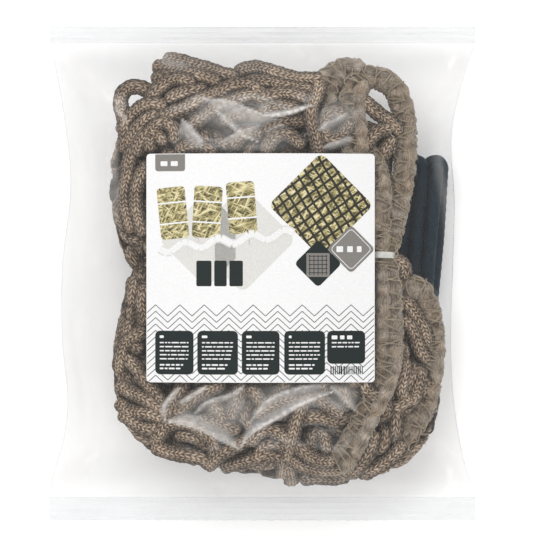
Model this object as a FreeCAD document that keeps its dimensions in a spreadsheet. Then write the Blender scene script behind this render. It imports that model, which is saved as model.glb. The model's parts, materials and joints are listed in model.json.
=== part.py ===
"""A hay net as it is sold: the folded net, its suspension rope and a cable tie in a sealed clear bag.

Millimetres. The bag lies on its back: X across it, +Y towards its top seal, +Z up through the label.
The origin is the middle of the flat underside.
"""

import FreeCAD, Part
import Sketcher

import math
import os

V = FreeCAD.Vector
doc = FreeCAD.newDocument("hay_net")

# ------------------------------------------------------------------ driving dimensions

SIZES = {
    # clear bag: a lay-flat tube with a heat seal across each end
    "bag_width": 250.0,  # laid flat, at the seals
    "bag_waist": 230.0,  # over the filled middle
    "bag_length": 290.0,
    "bag_height": 72.0,
    "bag_floor_width": 150.0,  # the part of the back that lies flat
    "side_crease_height": 28.0,
    "middle_length": 150.0,  # the stretch that has one constant section
    "film": 0.3,
    "seal_height": 28.0,
    "top_seal_depth": 10.6,
    "bottom_seal_depth": 14.7,
    "seal_thickness": 0.8,
    "seal_gap": 1.2,  # between a seal and the end of the bag, where the film bends
    "seal_ridge_radius": 0.5,
    "seal_ridge_pitch": 3.0,
    # label
    "label_width": 132.6,
    "label_height": 132.9,
    "label_centre_x": -1.1,
    "label_bottom_y": -63.2,
    "label_thickness": 0.3,
    "label_corner": 2.4,
    "label_gap": 0.1,
    # folded net
    "bundle_centre_x": 9.0,
    "bundle_width": 196.0,
    "bundle_floor_width": 120.0,
    "bundle_middle_length": 140.0,
    "bundle_end_y": 124.0,
    "bundle_height": 69.5,
    "bundle_lift": 1.0,
    "layer_gap": 0.6,
    # bound side seams
    "seam_radius": 6.5,
    "thread_gap": 0.1,
    "thread_thickness": 0.5,
    "thread_width": 3.0,
    "room_around_soft": 1.4,  # kept free between the netting and what is folded in with it
    # suspension rope, folded into a hank
    "hank_width": 28.0,
    "hank_length": 147.0,
    "hank_thickness": 15.0,
    "hank_rounding": 5.0,
    # cable tie round one seam
    "tie_width": 3.6,
    "tie_thickness": 0.9,
    "tie_gap": 0.2,
    "tie_head_length": 6.0,
    "tie_head_height": 4.5,
    "tie_head_width": 5.0,
}

sheet = doc.addObject("Spreadsheet::Sheet", "Sizes")
for row, (alias, value) in enumerate(SIZES.items(), start=1):
    sheet.set(f"A{row}", alias)
    sheet.set(f"B{row}", str(value))
    sheet.setAlias(f"B{row}", alias)
doc.recompute()


def size(alias):
    """A driving dimension, read back from the sheet."""
    return float(getattr(sheet, alias))


# ------------------------------------------------------------------ shared construction


def new_body(name):
    body = doc.addObject("PartDesign::Body", name)
    body.Label = name
    return body


def new_sketch(body, role, name, offset=None):
    """A sketch on one of the body's own origin planes, moved along the plane's normal by an expression."""
    plane = next(f for f in body.Origin.OriginFeatures if f.Role == role)
    sketch = body.newObject("Sketcher::SketchObject", name)
    sketch.AttachmentSupport = (plane, [""])
    sketch.MapMode = "FlatFace"
    if offset is not None:
        sketch.setExpression("AttachmentOffset.Base.z", offset)
    return sketch


def dimension(sketch, name, kind, where, value, formula):
    """Adds a named sketch dimension and binds it to the sheet."""
    index = sketch.addConstraint(Sketcher.Constraint(kind, *where, value))
    sketch.renameConstraint(index, name)
    sketch.setExpression(f"Constraints.{name}", formula)


ORIGIN = (-1, 1)
UPRIGHT_AXIS = -2


def lens_sketch(body, name, section):
    """A pillow's cross-section: a flat floor, two rounded flanks that rise from it and a crown over them.

    section gives y, width, floor, bottom, crease and top as sheet formulas or plain numbers.
    """
    value = {key: evaluate(text) for key, text in section.items()}
    half_width, half_floor = value["width"] / 2, value["floor"] / 2
    bottom, crease, top = value["bottom"], value["crease"], value["top"]
    side, drop, rise = half_width - half_floor, crease - bottom, top - crease
    flank = (side**2 + drop**2) / (2 * drop)
    crown = (half_width**2 + rise**2) / (2 * rise)
    flank_end = math.atan2(drop - flank, side)
    crown_end = math.atan2(crown - rise, half_width)

    def arc(x, z, radius, start, end):
        return Part.ArcOfCircle(Part.Circle(V(x, z, 0), V(0, 0, 1), radius), start, end)

    sketch = new_sketch(body, "XZ_Plane", name, f"-({section['y']})")
    floor, right, over, left = sketch.addGeometry(
        [
            Part.LineSegment(V(-half_floor, bottom, 0), V(half_floor, bottom, 0)),
            arc(half_floor, bottom + flank, flank, -math.pi / 2, flank_end),
            arc(0, top - crown, crown, crown_end, math.pi - crown_end),
            arc(-half_floor, bottom + flank, flank, math.pi - flank_end, 1.5 * math.pi),
        ]
    )
    sketch.addConstraint(
        [
            Sketcher.Constraint("Tangent", floor, 2, right, 1),
            Sketcher.Constraint("Tangent", left, 2, floor, 1),
            Sketcher.Constraint("Coincident", right, 2, over, 1),
            Sketcher.Constraint("Coincident", over, 2, left, 1),
            Sketcher.Constraint("Symmetric", floor, 1, floor, 2, UPRIGHT_AXIS),
            Sketcher.Constraint("Symmetric", over, 1, over, 2, UPRIGHT_AXIS),
        ]
    )
    width, high, low = section["width"], section["top"], section["crease"]
    dimension(sketch, "floor_width", "DistanceX", (floor, 1, floor, 2), 2 * half_floor, section["floor"])
    dimension(sketch, "full_width", "DistanceX", (over, 2, over, 1), 2 * half_width, width)
    dimension(sketch, "crease_height", "DistanceY", (*ORIGIN, over, 1), crease, low)
    flank_formula = f"({low}) - ({section['bottom']})"
    dimension(sketch, "flank_height", "DistanceY", (floor, 2, over, 1), drop, flank_formula)
    crown_formula = f"(({width}) ^ 2 / 4 + (({high}) - ({low})) ^ 2) / (2 * (({high}) - ({low})))"
    dimension(sketch, "crown_radius", "Radius", (over,), crown, crown_formula)
    return sketch


def evaluate(formula):
    """The value of a formula of driving dimensions, worked out in a spare cell of the sheet."""
    sheet.set("C1", "=" + formula.replace("Sizes.", ""))
    sheet.recompute()
    return float(sheet.get("C1"))


def pillow(name, middle, towards_top, towards_bottom):
    """A pillow: a constant middle, and ends lofted through further cross-sections."""
    body = new_body(name)
    first = lens_sketch(body, f"{name}_middle", {**middle, "y": f"-({middle['y']})"})
    pad = body.newObject("PartDesign::Pad", f"{name}_pad")
    pad.Profile = first
    pad.Reversed = True
    pad.setExpression("Length", f"2 * ({middle['y']})")
    for end, start_y, sections in (
        ("top", middle["y"], towards_top),
        ("bottom", f"-({middle['y']})", towards_bottom),
    ):
        start = lens_sketch(body, f"{name}_{end}_0", {**middle, "y": start_y})
        rest = [lens_sketch(body, f"{name}_{end}_{i}", s) for i, s in enumerate(sections, start=1)]
        loft = body.newObject("PartDesign::AdditiveLoft", f"{name}_{end}_loft")
        loft.Profile = start
        loft.Sections = rest
        loft.Ruled = True
    doc.recompute()
    return body


def boolean(kind, name, base, tool):
    result = doc.addObject(f"Part::{kind}", name)
    result.Label = name
    result.Base = base
    result.Tool = tool
    return result


# ------------------------------------------------------------------ clear bag

TOP_ROOT = "Sizes.bag_length / 2 - Sizes.top_seal_depth"
BOTTOM_ROOT = "-(Sizes.bag_length / 2 - Sizes.bottom_seal_depth)"


# How many film thicknesses the inside is narrower, so that the slanting flanks stay as thick.
SIDE_INSET = 2.6


def bag_section(y, width, floor, bottom, top, inset):
    """One cross-section of the bag's outside, or of its inside when inset is the film's thickness."""
    return {
        "y": y,
        "width": f"{width} - {SIDE_INSET} * {inset}",
        "floor": floor,
        "bottom": f"{bottom} + {inset}",
        "crease": "Sizes.side_crease_height",
        "top": f"{top} - {inset}",
    }


def bag_solid(name, inset, closed_by):
    """The bag as a solid; closed_by is how far short of the seals its ends stop."""
    half_middle = "Sizes.middle_length / 2"
    middle = bag_section(
        half_middle, "Sizes.bag_waist", "Sizes.bag_floor_width", "0", "Sizes.bag_height", inset
    )

    def end(root, sign):
        # (distance from the root, width, floor width, bottom, top)
        shape = [
            (46.0, 231.0, 148.0, 0.4, 71.4),
            (32.0, 234.0, 146.0, 2.4, 67.5),
            (19.0, 239.0, 150.0, 7.2, 59.0),
            (8.0, 245.0, 178.0, 14.8, 46.5),
            (closed_by, 249.0, 236.0, 27.3, 28.7),
        ]
        return [
            bag_section(f"{root} - ({sign}) * {back}", *(str(value) for value in section), inset)
            for back, *section in shape
        ]

    return pillow(name, middle, end(TOP_ROOT, 1), end(BOTTOM_ROOT, -1))


CAVITY_END = 2.0  # how far short of the seals the inside stops
outside = bag_solid("bag_outside", "0", 0.0)
cavity = bag_solid("bag_cavity", "Sizes.film", CAVITY_END)
bag_film = boolean("Cut", "bag_film", outside, cavity)


def seal(name, depth, ridges, outwards):
    """A heat-sealed band: both films welded flat, with crimped ridges along it."""
    body = new_body(name)
    band = new_sketch(body, "YZ_Plane", f"{name}_section")
    near, far = size("seal_gap"), size(depth)
    half = size("seal_thickness") / 2
    corners = [V(near, -half, 0), V(far, -half, 0), V(far, half, 0), V(near, half, 0)]
    lines = [Part.LineSegment(corners[i], corners[(i + 1) % 4]) for i in range(4)]
    lower, outer, upper, inner = band.addGeometry(lines)
    for a, b in ((lower, outer), (outer, upper), (upper, inner), (inner, lower)):
        band.addConstraint(Sketcher.Constraint("Coincident", a, 2, b, 1))
    band.addConstraint(Sketcher.Constraint("Horizontal", lower))
    band.addConstraint(Sketcher.Constraint("Horizontal", upper))
    band.addConstraint(Sketcher.Constraint("Vertical", inner))
    band.addConstraint(Sketcher.Constraint("Symmetric", outer, 1, outer, 2, -1))
    dimension(band, "root_gap", "DistanceX", (*ORIGIN, lower, 1), near, "Sizes.seal_gap")
    dimension(band, "depth", "DistanceX", (*ORIGIN, lower, 2), far, f"Sizes.{depth}")
    dimension(band, "thickness", "DistanceY", (outer, 1, outer, 2), 2 * half, "Sizes.seal_thickness")
    pad = body.newObject("PartDesign::Pad", f"{name}_band")
    pad.Profile = band
    pad.Midplane = True
    pad.setExpression("Length", "Sizes.bag_width")

    ridge = new_sketch(body, "YZ_Plane", f"{name}_ridge")
    radius = size("seal_ridge_radius")
    first = far - size("seal_ridge_pitch") * (ridges - 0.5)
    circle = ridge.addGeometry(Part.Circle(V(first, half, 0), V(0, 0, 1), radius))
    first_formula = f"Sizes.{depth} - Sizes.seal_ridge_pitch * {ridges - 0.5}"
    dimension(ridge, "radius", "Radius", (circle,), radius, "Sizes.seal_ridge_radius")
    dimension(ridge, "from_root", "DistanceX", (*ORIGIN, circle, 3), first, first_formula)
    dimension(ridge, "level", "DistanceY", (*ORIGIN, circle, 3), half, "Sizes.seal_thickness / 2")
    crimp = body.newObject("PartDesign::Pad", f"{name}_crimp")
    crimp.Profile = ridge
    crimp.Midplane = True
    crimp.setExpression("Length", "Sizes.bag_width - 2 * Sizes.seal_ridge_radius")
    doc.recompute()
    rows = body.newObject("PartDesign::LinearPattern", f"{name}_crimps")
    rows.Originals = [crimp]
    rows.Direction = (band, ["H_Axis"])
    rows.Occurrences = ridges
    rows.setExpression("Length", f"Sizes.seal_ridge_pitch * {ridges - 1}")
    body.Tip = rows
    turn = FreeCAD.Rotation(V(0, 0, 1), 0 if outwards > 0 else 180)
    root = size("bag_length") / 2 - far
    body.Placement = FreeCAD.Placement(V(0, outwards * root, size("seal_height")), turn)
    sign = "" if outwards > 0 else "-"
    body.setExpression("Placement.Base.y", f"{sign}(Sizes.bag_length / 2 - Sizes.{depth})")
    body.setExpression("Placement.Base.z", "Sizes.seal_height")
    return body


top_seal = seal("bag_top_seal", "top_seal_depth", 3, 1)
bottom_seal = seal("bag_bottom_seal", "bottom_seal_depth", 4, -1)

# ------------------------------------------------------------------ label


def label_sheet():
    """A square sheet that follows the crown of the bag's middle."""
    body = new_body("label")
    rise = size("bag_height") - size("side_crease_height")
    crown = (size("bag_waist") ** 2 / 4 + rise**2) / (2 * rise)
    crown_formula = (
        "(Sizes.bag_waist ^ 2 / 4 + (Sizes.bag_height - Sizes.side_crease_height) ^ 2)"
        " / (2 * (Sizes.bag_height - Sizes.side_crease_height))"
    )
    inner, outer = crown + size("label_gap"), crown + size("label_gap") + size("label_thickness")
    lean = math.asin(size("label_width") / 2 / inner)
    shift = math.asin(size("label_centre_x") / inner)
    start, end = math.pi / 2 - lean - shift, math.pi / 2 + lean - shift
    centre = V(0, size("bag_height") - crown, 0)

    def point(radius, angle):
        return centre + V(radius * math.cos(angle), radius * math.sin(angle), 0)

    band = new_sketch(body, "XZ_Plane", "label_section", "-Sizes.label_bottom_y")
    low, high, right, left = band.addGeometry(
        [
            Part.ArcOfCircle(Part.Circle(centre, V(0, 0, 1), inner), start, end),
            Part.ArcOfCircle(Part.Circle(centre, V(0, 0, 1), outer), start, end),
            Part.LineSegment(point(inner, start), point(outer, start)),
            Part.LineSegment(point(outer, end), point(inner, end)),
        ]
    )
    band.addConstraint(
        [
            Sketcher.Constraint("Coincident", right, 2, high, 1),
            Sketcher.Constraint("Coincident", high, 2, left, 1),
            Sketcher.Constraint("Coincident", low, 3, high, 3),
            Sketcher.Constraint("PointOnObject", low, 3, UPRIGHT_AXIS),
            Sketcher.Constraint("Perpendicular", low, 1, right, 1),
            Sketcher.Constraint("Perpendicular", low, 2, left, 2),
        ]
    )
    inner_formula = f"{crown_formula} + Sizes.label_gap"
    outer_formula = f"{inner_formula} + Sizes.label_thickness"
    depth_formula = f"{crown_formula} - Sizes.bag_height"
    dimension(band, "inside_radius", "Radius", (low,), inner, inner_formula)
    dimension(band, "outside_radius", "Radius", (high,), outer, outer_formula)
    depth = crown - size("bag_height")
    dimension(band, "centre_depth", "DistanceY", (low, 3, *ORIGIN), depth, depth_formula)
    reach = point(inner, start).x
    across = reach - point(inner, end).x
    right_edge = "Sizes.label_width / 2 + Sizes.label_centre_x"
    dimension(band, "right_edge", "DistanceX", (*ORIGIN, low, 1), reach, right_edge)
    dimension(band, "width", "DistanceX", (low, 2, low, 1), across, "Sizes.label_width")
    pad = body.newObject("PartDesign::Pad", "label_pad")
    pad.Profile = band
    pad.Reversed = True
    pad.setExpression("Length", "Sizes.label_height")
    doc.recompute()
    thickness = size("label_thickness")
    corners = [f"Edge{i}" for i, e in enumerate(pad.Shape.Edges, start=1) if e.Length < 1.5 * thickness]
    rounding = body.newObject("PartDesign::Fillet", "label_corners")
    rounding.Base = (pad, corners)
    rounding.setExpression("Radius", "Sizes.label_corner")
    return body


label = label_sheet()

# ------------------------------------------------------------------ bound side seams

# Each route runs down the middle of a seam, under the crown of the bag.
UPPER_SEAM = [
    (48.5, 105.5, 34.0),
    (55.0, 113.0, 36.0),
    (66.7, 115.0, 36.5),
    (78.0, 109.0, 36.5),
    (82.6, 96.0, 37.5),
    (83.8, 81.4, 39.3),
    (83.0, 59.7, 41.4),
    (76.1, 43.2, 45.0),
    (70.3, 22.6, 47.5),
    (69.7, -0.9, 48.0),
    (72.6, -27.3, 46.9),
    (71.4, -53.8, 47.5),
    (63.2, -77.3, 50.0),
    (52.6, -97.9, 46.0),
]
RIGHT_SEAM = [
    (79.0, -19.0, 35.5),
    (83.8, -9.0, 39.0),
    (91.2, -7.0, 36.4),
    (97.0, -16.0, 32.3),
    (100.4, -33.2, 29.8),
    (100.5, -53.8, 29.5),
    (96.8, -73.0, 31.2),
    (88.5, -90.0, 33.0),
    (77.9, -102.0, 34.0),
]
ARC_SHARE = 0.45  # of the shorter run beside a turn


def seam_wire(points):
    """Straight runs joined by tangent arcs, each as large as its two runs allow."""
    points = [V(*p) for p in points]
    edges, here = [], points[0]
    for before, corner, after in zip(points, points[1:], points[2:]):
        inwards, onwards = (corner - before).normalize(), (after - corner).normalize()
        cut = ARC_SHARE * min(corner.distanceToPoint(before), after.distanceToPoint(corner))
        start, end = corner - inwards * cut, corner + onwards * cut
        half_turn = inwards.getAngle(onwards) / 2
        bend = cut / math.tan(half_turn)
        bisector = (onwards - inwards).normalize()
        middle = corner + bisector * (bend / math.cos(half_turn) - bend)
        edges += [Part.LineSegment(here, start).toShape(), Part.Arc(start, middle, end).toShape()]
        here = end
    edges.append(Part.LineSegment(here, points[-1]).toShape())
    return Part.Wire(edges)


def seam_tube(name, route, radius):
    """A tube of the given radius along a seam's route."""
    path = doc.addObject("Part::Feature", f"{name}_path")
    path.Shape = seam_wire(route)
    ring = doc.addObject("Part::Circle", f"{name}_ring")
    ring.setExpression("Radius", radius)
    along = V(*route[1]) - V(*route[0])
    ring.Placement = FreeCAD.Placement(V(*route[0]), FreeCAD.Rotation(V(0, 0, 1), along))
    tube = doc.addObject("Part::Sweep", name)
    tube.Label = name
    tube.Sections = [ring]
    tube.Spine = (path, [f"Edge{i}" for i in range(1, len(path.Shape.Edges) + 1)])
    tube.Solid = True
    tube.Frenet = False
    doc.recompute()
    area = math.pi * float(ring.Radius) ** 2
    print(name, "volume", round(tube.Shape.Volume), "section x length", round(area * path.Shape.Length))
    return tube


def band_at(name, route, run, share, inner, thickness, width):
    """A closed band round a seam, at a share of one of its runs."""
    start, end = V(*route[run]), V(*route[run + 1])
    body = new_body(name)
    ring = new_sketch(body, "XY_Plane", f"{name}_section")
    inside = ring.addGeometry(Part.Circle(V(0, 0, 0), V(0, 0, 1), evaluate(inner)))
    outside_of_band = evaluate(f"{inner} + {thickness}")
    outline = ring.addGeometry(Part.Circle(V(0, 0, 0), V(0, 0, 1), outside_of_band))
    ring.addConstraint(Sketcher.Constraint("Coincident", inside, 3, *ORIGIN))
    ring.addConstraint(Sketcher.Constraint("Coincident", outline, 3, *ORIGIN))
    dimension(ring, "inside", "Radius", (inside,), evaluate(inner), inner)
    dimension(ring, "outside", "Radius", (outline,), outside_of_band, f"{inner} + {thickness}")
    pad = body.newObject("PartDesign::Pad", f"{name}_pad")
    pad.Profile = ring
    pad.Midplane = True
    pad.setExpression("Length", width)
    along = end - start
    body.Placement = FreeCAD.Placement(start + along * share, FreeCAD.Rotation(V(0, 0, 1), along))
    return body


def seam_thread(name, route, runs):
    """The binding thread of a seam, as one band of wraps on the straight part of each run."""
    inner = "Sizes.seam_radius + Sizes.thread_gap"
    bands = [
        band_at(f"{name}_{run}", route, run, 0.5, inner, "Sizes.thread_thickness", width)
        for run, width in runs.items()
    ]
    group = doc.addObject("Part::Compound", name)
    group.Label = name
    group.Links = bands
    return group


NARROW, WIDE = "Sizes.thread_width / 3", "Sizes.thread_width / 2"
upper_seam = seam_tube("side_seam_upper", UPPER_SEAM, "Sizes.seam_radius")
right_seam = seam_tube("side_seam_right", RIGHT_SEAM, "Sizes.seam_radius")
UPPER_BANDS = {3: NARROW, 5: WIDE, 6: NARROW, 7: NARROW, 9: WIDE, 10: WIDE, 11: NARROW}
RIGHT_BANDS = {4: NARROW, 5: NARROW, 6: NARROW, 7: NARROW}
upper_thread = seam_thread("seam_thread_upper", UPPER_SEAM, UPPER_BANDS)
right_thread = seam_thread("seam_thread_right", RIGHT_SEAM, RIGHT_BANDS)

# ------------------------------------------------------------------ suspension rope

# The hank leans: its upper end lies further out and higher than its lower end.
HANK_TOP = V(94.5, 72.0, 22.5)
HANK_BOTTOM = V(84.0, -74.0, 13.5)


def hank(name, margin):
    """The outer shape of the folded rope, or the room it needs when margin is not zero."""
    body = new_body(name)
    outline = new_sketch(body, "XY_Plane", f"{name}_outline")
    width = f"Sizes.hank_width + 2 * {margin}"
    length = f"Sizes.hank_length + 2 * {margin}"
    half_x, half_y = evaluate(width) / 2, evaluate(length) / 2
    corners = [V(i * half_x, j * half_y, 0) for i, j in ((-1, -1), (1, -1), (1, 1), (-1, 1))]
    lower, right, upper, left = outline.addGeometry(
        [Part.LineSegment(corners[i], corners[(i + 1) % 4]) for i in range(4)]
    )
    for a, b in ((lower, right), (right, upper), (upper, left), (left, lower)):
        outline.addConstraint(Sketcher.Constraint("Coincident", a, 2, b, 1))
    outline.addConstraint(Sketcher.Constraint("Horizontal", lower))
    outline.addConstraint(Sketcher.Constraint("Vertical", right))
    outline.addConstraint(Sketcher.Constraint("Vertical", left))
    outline.addConstraint(Sketcher.Constraint("Symmetric", lower, 1, upper, 1, -1, 1))
    dimension(outline, "across", "DistanceX", (lower, 1, lower, 2), 2 * half_x, width)
    dimension(outline, "along", "DistanceY", (right, 1, right, 2), 2 * half_y, length)
    pad = body.newObject("PartDesign::Pad", f"{name}_pad")
    pad.Profile = outline
    pad.Midplane = True
    pad.setExpression("Length", f"Sizes.hank_thickness + 2 * {margin}")
    doc.recompute()
    rounding = body.newObject("PartDesign::Fillet", f"{name}_rounding")
    rounding.Base = (pad, [f"Edge{i}" for i in range(1, len(pad.Shape.Edges) + 1)])
    rounding.setExpression("Radius", "Sizes.hank_rounding")
    along = (HANK_TOP - HANK_BOTTOM).normalize()
    level = V(0, 0, 1) - along * along.z
    turn = FreeCAD.Rotation(along.cross(level), along, level, "YZX")
    body.Placement = FreeCAD.Placement((HANK_TOP + HANK_BOTTOM) / 2, turn)
    return body


suspension_rope = hank("suspension_rope", "0")

# ------------------------------------------------------------------ cable tie

TIE_RUN, TIE_SHARE = 8, 0.5
tie_strap = band_at(
    "cable_tie_strap",
    UPPER_SEAM,
    TIE_RUN,
    TIE_SHARE,
    "Sizes.seam_radius + Sizes.tie_gap",
    "Sizes.tie_thickness",
    "Sizes.tie_width",
)


def tie_head(name, margin):
    """The ratchet head, under the strap, or the room it needs when margin is not zero."""
    head = doc.addObject("Part::Box", name)
    head.Label = name
    head.setExpression("Length", f"Sizes.tie_head_length + 2 * {margin}")
    head.setExpression("Width", f"Sizes.tie_head_height + 2 * {margin}")
    head.setExpression("Height", f"Sizes.tie_head_width + 2 * {margin}")
    strap_outside = size("seam_radius") + size("tie_gap") + size("tie_thickness")
    under = strap_outside + size("tie_gap") + size("tie_head_height")
    room = evaluate(margin)
    corner = V(-size("tie_head_length") / 2 - room, -under - room, -size("tie_head_width") / 2 - room)
    head.Placement = tie_strap.Placement * FreeCAD.Placement(corner, FreeCAD.Rotation())
    return head


head = tie_head("cable_tie_head", "0")

# ------------------------------------------------------------------ folded netting


def bundle_section(y, width, floor, bottom, top):
    """One cross-section of the folded net."""
    crease = "Sizes.side_crease_height"
    return {"y": y, "width": width, "floor": floor, "bottom": bottom, "crease": crease, "top": top}


def folded_net():
    """The whole folded net as one cushion-shaped solid that fills the bag."""
    middle = bundle_section(
        "Sizes.bundle_middle_length / 2",
        "Sizes.bundle_width",
        "Sizes.bundle_floor_width",
        "Sizes.bundle_lift",
        "Sizes.bundle_height",
    )

    def end(sign):
        # (distance from the end, width, floor width, bottom, top)
        shape = [
            (36.0, 193.0, 118.0, 2.2, 67.5),
            (22.0, 188.0, 116.0, 5.2, 61.0),
            (9.0, 178.0, 118.0, 12.4, 49.0),
            (0.0, 160.0, 124.0, 19.5, 36.5),
        ]
        return [
            bundle_section(f"{sign} * (Sizes.bundle_end_y - {back})", *(str(value) for value in section))
            for back, *section in shape
        ]

    body = pillow("folded_net", middle, end(1), end(-1))
    body.setExpression("Placement.Base.x", "Sizes.bundle_centre_x")
    return body


def half_space(name, above):
    """A box that holds everything above or below the fold between the two net panels."""
    box = doc.addObject("Part::Box", name)
    box.setExpression("Length", "2 * Sizes.bag_width")
    box.setExpression("Width", "2 * Sizes.bag_length")
    box.setExpression("Height", "Sizes.bag_height")
    box.setExpression("Placement.Base.x", "-Sizes.bag_width")
    box.setExpression("Placement.Base.y", "-Sizes.bag_length")
    half_gap = "Sizes.layer_gap / 2"
    if above:
        level = f"Sizes.side_crease_height + {half_gap}"
    else:
        level = f"Sizes.side_crease_height - {half_gap} - Sizes.bag_height"
    box.setExpression("Placement.Base.z", level)
    return box


bundle = folded_net()
ROOM = "Sizes.seam_radius + Sizes.room_around_soft"
rooms = doc.addObject("Part::MultiFuse", "rooms")
rooms.Shapes = [
    seam_tube("upper_seam_room", UPPER_SEAM, ROOM),
    seam_tube("right_seam_room", RIGHT_SEAM, ROOM),
    hank("hank_room", "Sizes.room_around_soft"),
    tie_head("tie_head_room", "Sizes.room_around_soft"),
]
doc.recompute()
cleared = boolean("Cut", "cleared_net", bundle, rooms)
front_panel = boolean("Common", "net_panel_front", cleared, half_space("above_fold", True))
back_panel = boolean("Common", "net_panel_back", cleared, half_space("below_fold", False))

# ------------------------------------------------------------------ checks and export

doc.recompute()
PIECES = [
    bag_film,
    top_seal,
    bottom_seal,
    label,
    front_panel,
    back_panel,
    upper_seam,
    right_seam,
    upper_thread,
    right_thread,
    suspension_rope,
    tie_strap,
    head,
]

failed = [o.Name for o in doc.Objects if {"Invalid", "Error"} & set(o.State)]
if failed:
    raise SystemExit(f"these did not build: {failed}")
os.makedirs("parts", exist_ok=True)
for piece in PIECES:
    shape = piece.Shape
    if shape.isNull() or not shape.isValid():
        raise SystemExit(f"{piece.Label} has no valid shape")
    box = shape.BoundBox
    print(
        f"{piece.Label}: {len(shape.Solids)} solids, {shape.Volume / 1000:.2f} cm3,"
        f" x {box.XMin:.1f} to {box.XMax:.1f}, y {box.YMin:.1f} to {box.YMax:.1f},"
        f" z {box.ZMin:.1f} to {box.ZMax:.1f}"
    )
    shape.exportStep(f"parts/{piece.Label}.step")
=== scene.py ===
"""The looks of a hay net, folded into a sealed clear bag with a label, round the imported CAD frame.

Lengths are worked out in millimetres, in the part's own frame, and turned into metres when a mesh is made.
"""
import json
import math

import bmesh
import bpy
import numpy as np
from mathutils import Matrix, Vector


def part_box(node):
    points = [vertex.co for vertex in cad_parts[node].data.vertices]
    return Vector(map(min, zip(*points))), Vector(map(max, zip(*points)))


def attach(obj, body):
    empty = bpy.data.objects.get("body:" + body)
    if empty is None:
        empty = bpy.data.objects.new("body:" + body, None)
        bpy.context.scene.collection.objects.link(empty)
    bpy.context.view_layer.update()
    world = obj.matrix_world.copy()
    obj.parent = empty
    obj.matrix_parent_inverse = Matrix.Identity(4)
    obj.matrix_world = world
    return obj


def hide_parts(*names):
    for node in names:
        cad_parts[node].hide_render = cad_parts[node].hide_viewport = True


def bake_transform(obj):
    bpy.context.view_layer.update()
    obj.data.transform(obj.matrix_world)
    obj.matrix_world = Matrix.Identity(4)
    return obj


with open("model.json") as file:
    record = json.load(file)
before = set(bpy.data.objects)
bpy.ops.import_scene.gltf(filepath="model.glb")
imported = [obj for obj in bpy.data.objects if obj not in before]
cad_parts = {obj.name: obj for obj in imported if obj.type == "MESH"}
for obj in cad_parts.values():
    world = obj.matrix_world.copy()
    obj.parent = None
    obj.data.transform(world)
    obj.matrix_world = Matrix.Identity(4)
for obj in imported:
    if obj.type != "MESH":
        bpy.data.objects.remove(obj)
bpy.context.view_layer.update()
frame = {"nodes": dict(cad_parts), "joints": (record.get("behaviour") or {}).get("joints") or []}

MM = 0.001
UP = np.array([0.0, 0.0, 1.0])


# ---------------------------------------------------------------- the frame's sizes

def box_mm(node):
    """Lowest and highest corner of a CAD node, in millimetres."""
    return [np.array(corner) * 1000 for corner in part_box(node)]


FILM_LOW, FILM_HIGH = box_mm("bag_film")
LABEL_LOW, LABEL_HIGH = box_mm("label")
HINGES = {joint["name"]: np.array(joint["pos_m"]) * 1000 for joint in frame["joints"]}
CREASE_Z = HINGES["top_seal_bend"][2]      # height of the film's side creases
WAIST = 115.0                              # half the bag's width where it is full
FLOOR = 75.0                               # half the width that lies flat
FLANK = 42.57                              # radius from the flat floor up to the side crease
CROWN = FILM_HIGH[2] - CREASE_Z            # how far the front bulges over the crease
CROWN_RADIUS = (WAIST**2 + CROWN**2) / (2 * CROWN)
SHOULDER = 60.0                            # distance from a seal over which the bag swells
SWELL = 3.6                                # the larger, the more suddenly it swells

# Outer edges of the bag from the bottom to the top, as (y, x).
LEFT_EDGE = [
    (-131, -125), (-122, -124), (-96, -117), (-82, -115), (-38, -118), (2, -118), (54, -113), (100, -118),
    (136, -125)]
RIGHT_EDGE = [
    (-131, 125), (-115, 120), (-86, 114), (-48, 111), (2, 112), (39, 113), (88, 112), (110, 117), (136, 125)]


def smooth_through(places, at):
    """A smooth curve through (place, value) pairs, read at the given places."""
    where, value = np.array(places, float).T
    slope = np.gradient(value, where)
    k = np.clip(np.searchsorted(where, at) - 1, 0, len(where) - 2)
    span = where[k + 1] - where[k]
    f = np.clip((at - where[k]) / span, 0, 1)
    rise = value[k + 1] - value[k]
    return (value[k] + rise * f * f * (3 - 2 * f)
            + span * f * (1 - f) * ((1 - f) * slope[k] - f * slope[k + 1]))


def smooth_step(low, high, x):
    """Rises smoothly from 0 at low to 1 at high."""
    f = np.clip((x - low) / (high - low), 0, 1)
    return f * f * (3 - 2 * f)


def swell(y):
    """How full the bag is at y, from 0 at the root of a seal to 1."""
    room = np.minimum(FILM_HIGH[1] - y, y - FILM_LOW[1])
    return 1 - (1 - np.clip(room / SHOULDER, 0, 1)) ** SWELL


def nominal_x(x, y):
    """x as if the bag's edges were straight, so that one cross-section serves the whole bag."""
    edge = np.where(x < 0, -smooth_through(LEFT_EDGE, y), smooth_through(RIGHT_EDGE, y))
    outer = np.clip(np.abs(x) - FLOOR, 0, None) * (WAIST - FLOOR) / (edge - FLOOR)
    return np.sign(x) * np.minimum(np.minimum(np.abs(x), FLOOR) + outer, WAIST)


def bag_top(x, y):
    """Height of the smooth front of the bag."""
    n = nominal_x(x, y)
    return CREASE_Z + swell(y) * (np.sqrt(CROWN_RADIUS**2 - n**2) - (CROWN_RADIUS - CROWN))


def bag_bottom(x, y):
    """Height of the smooth back of the bag."""
    n = np.clip(np.abs(nominal_x(x, y)) - FLOOR, 0, None)
    raised = FLANK - np.sqrt(FLANK**2 - n**2)
    return CREASE_Z - swell(y) * np.clip(CREASE_Z - raised, 0, None)


# ---------------------------------------------------------------- camera, lights and floor

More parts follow.
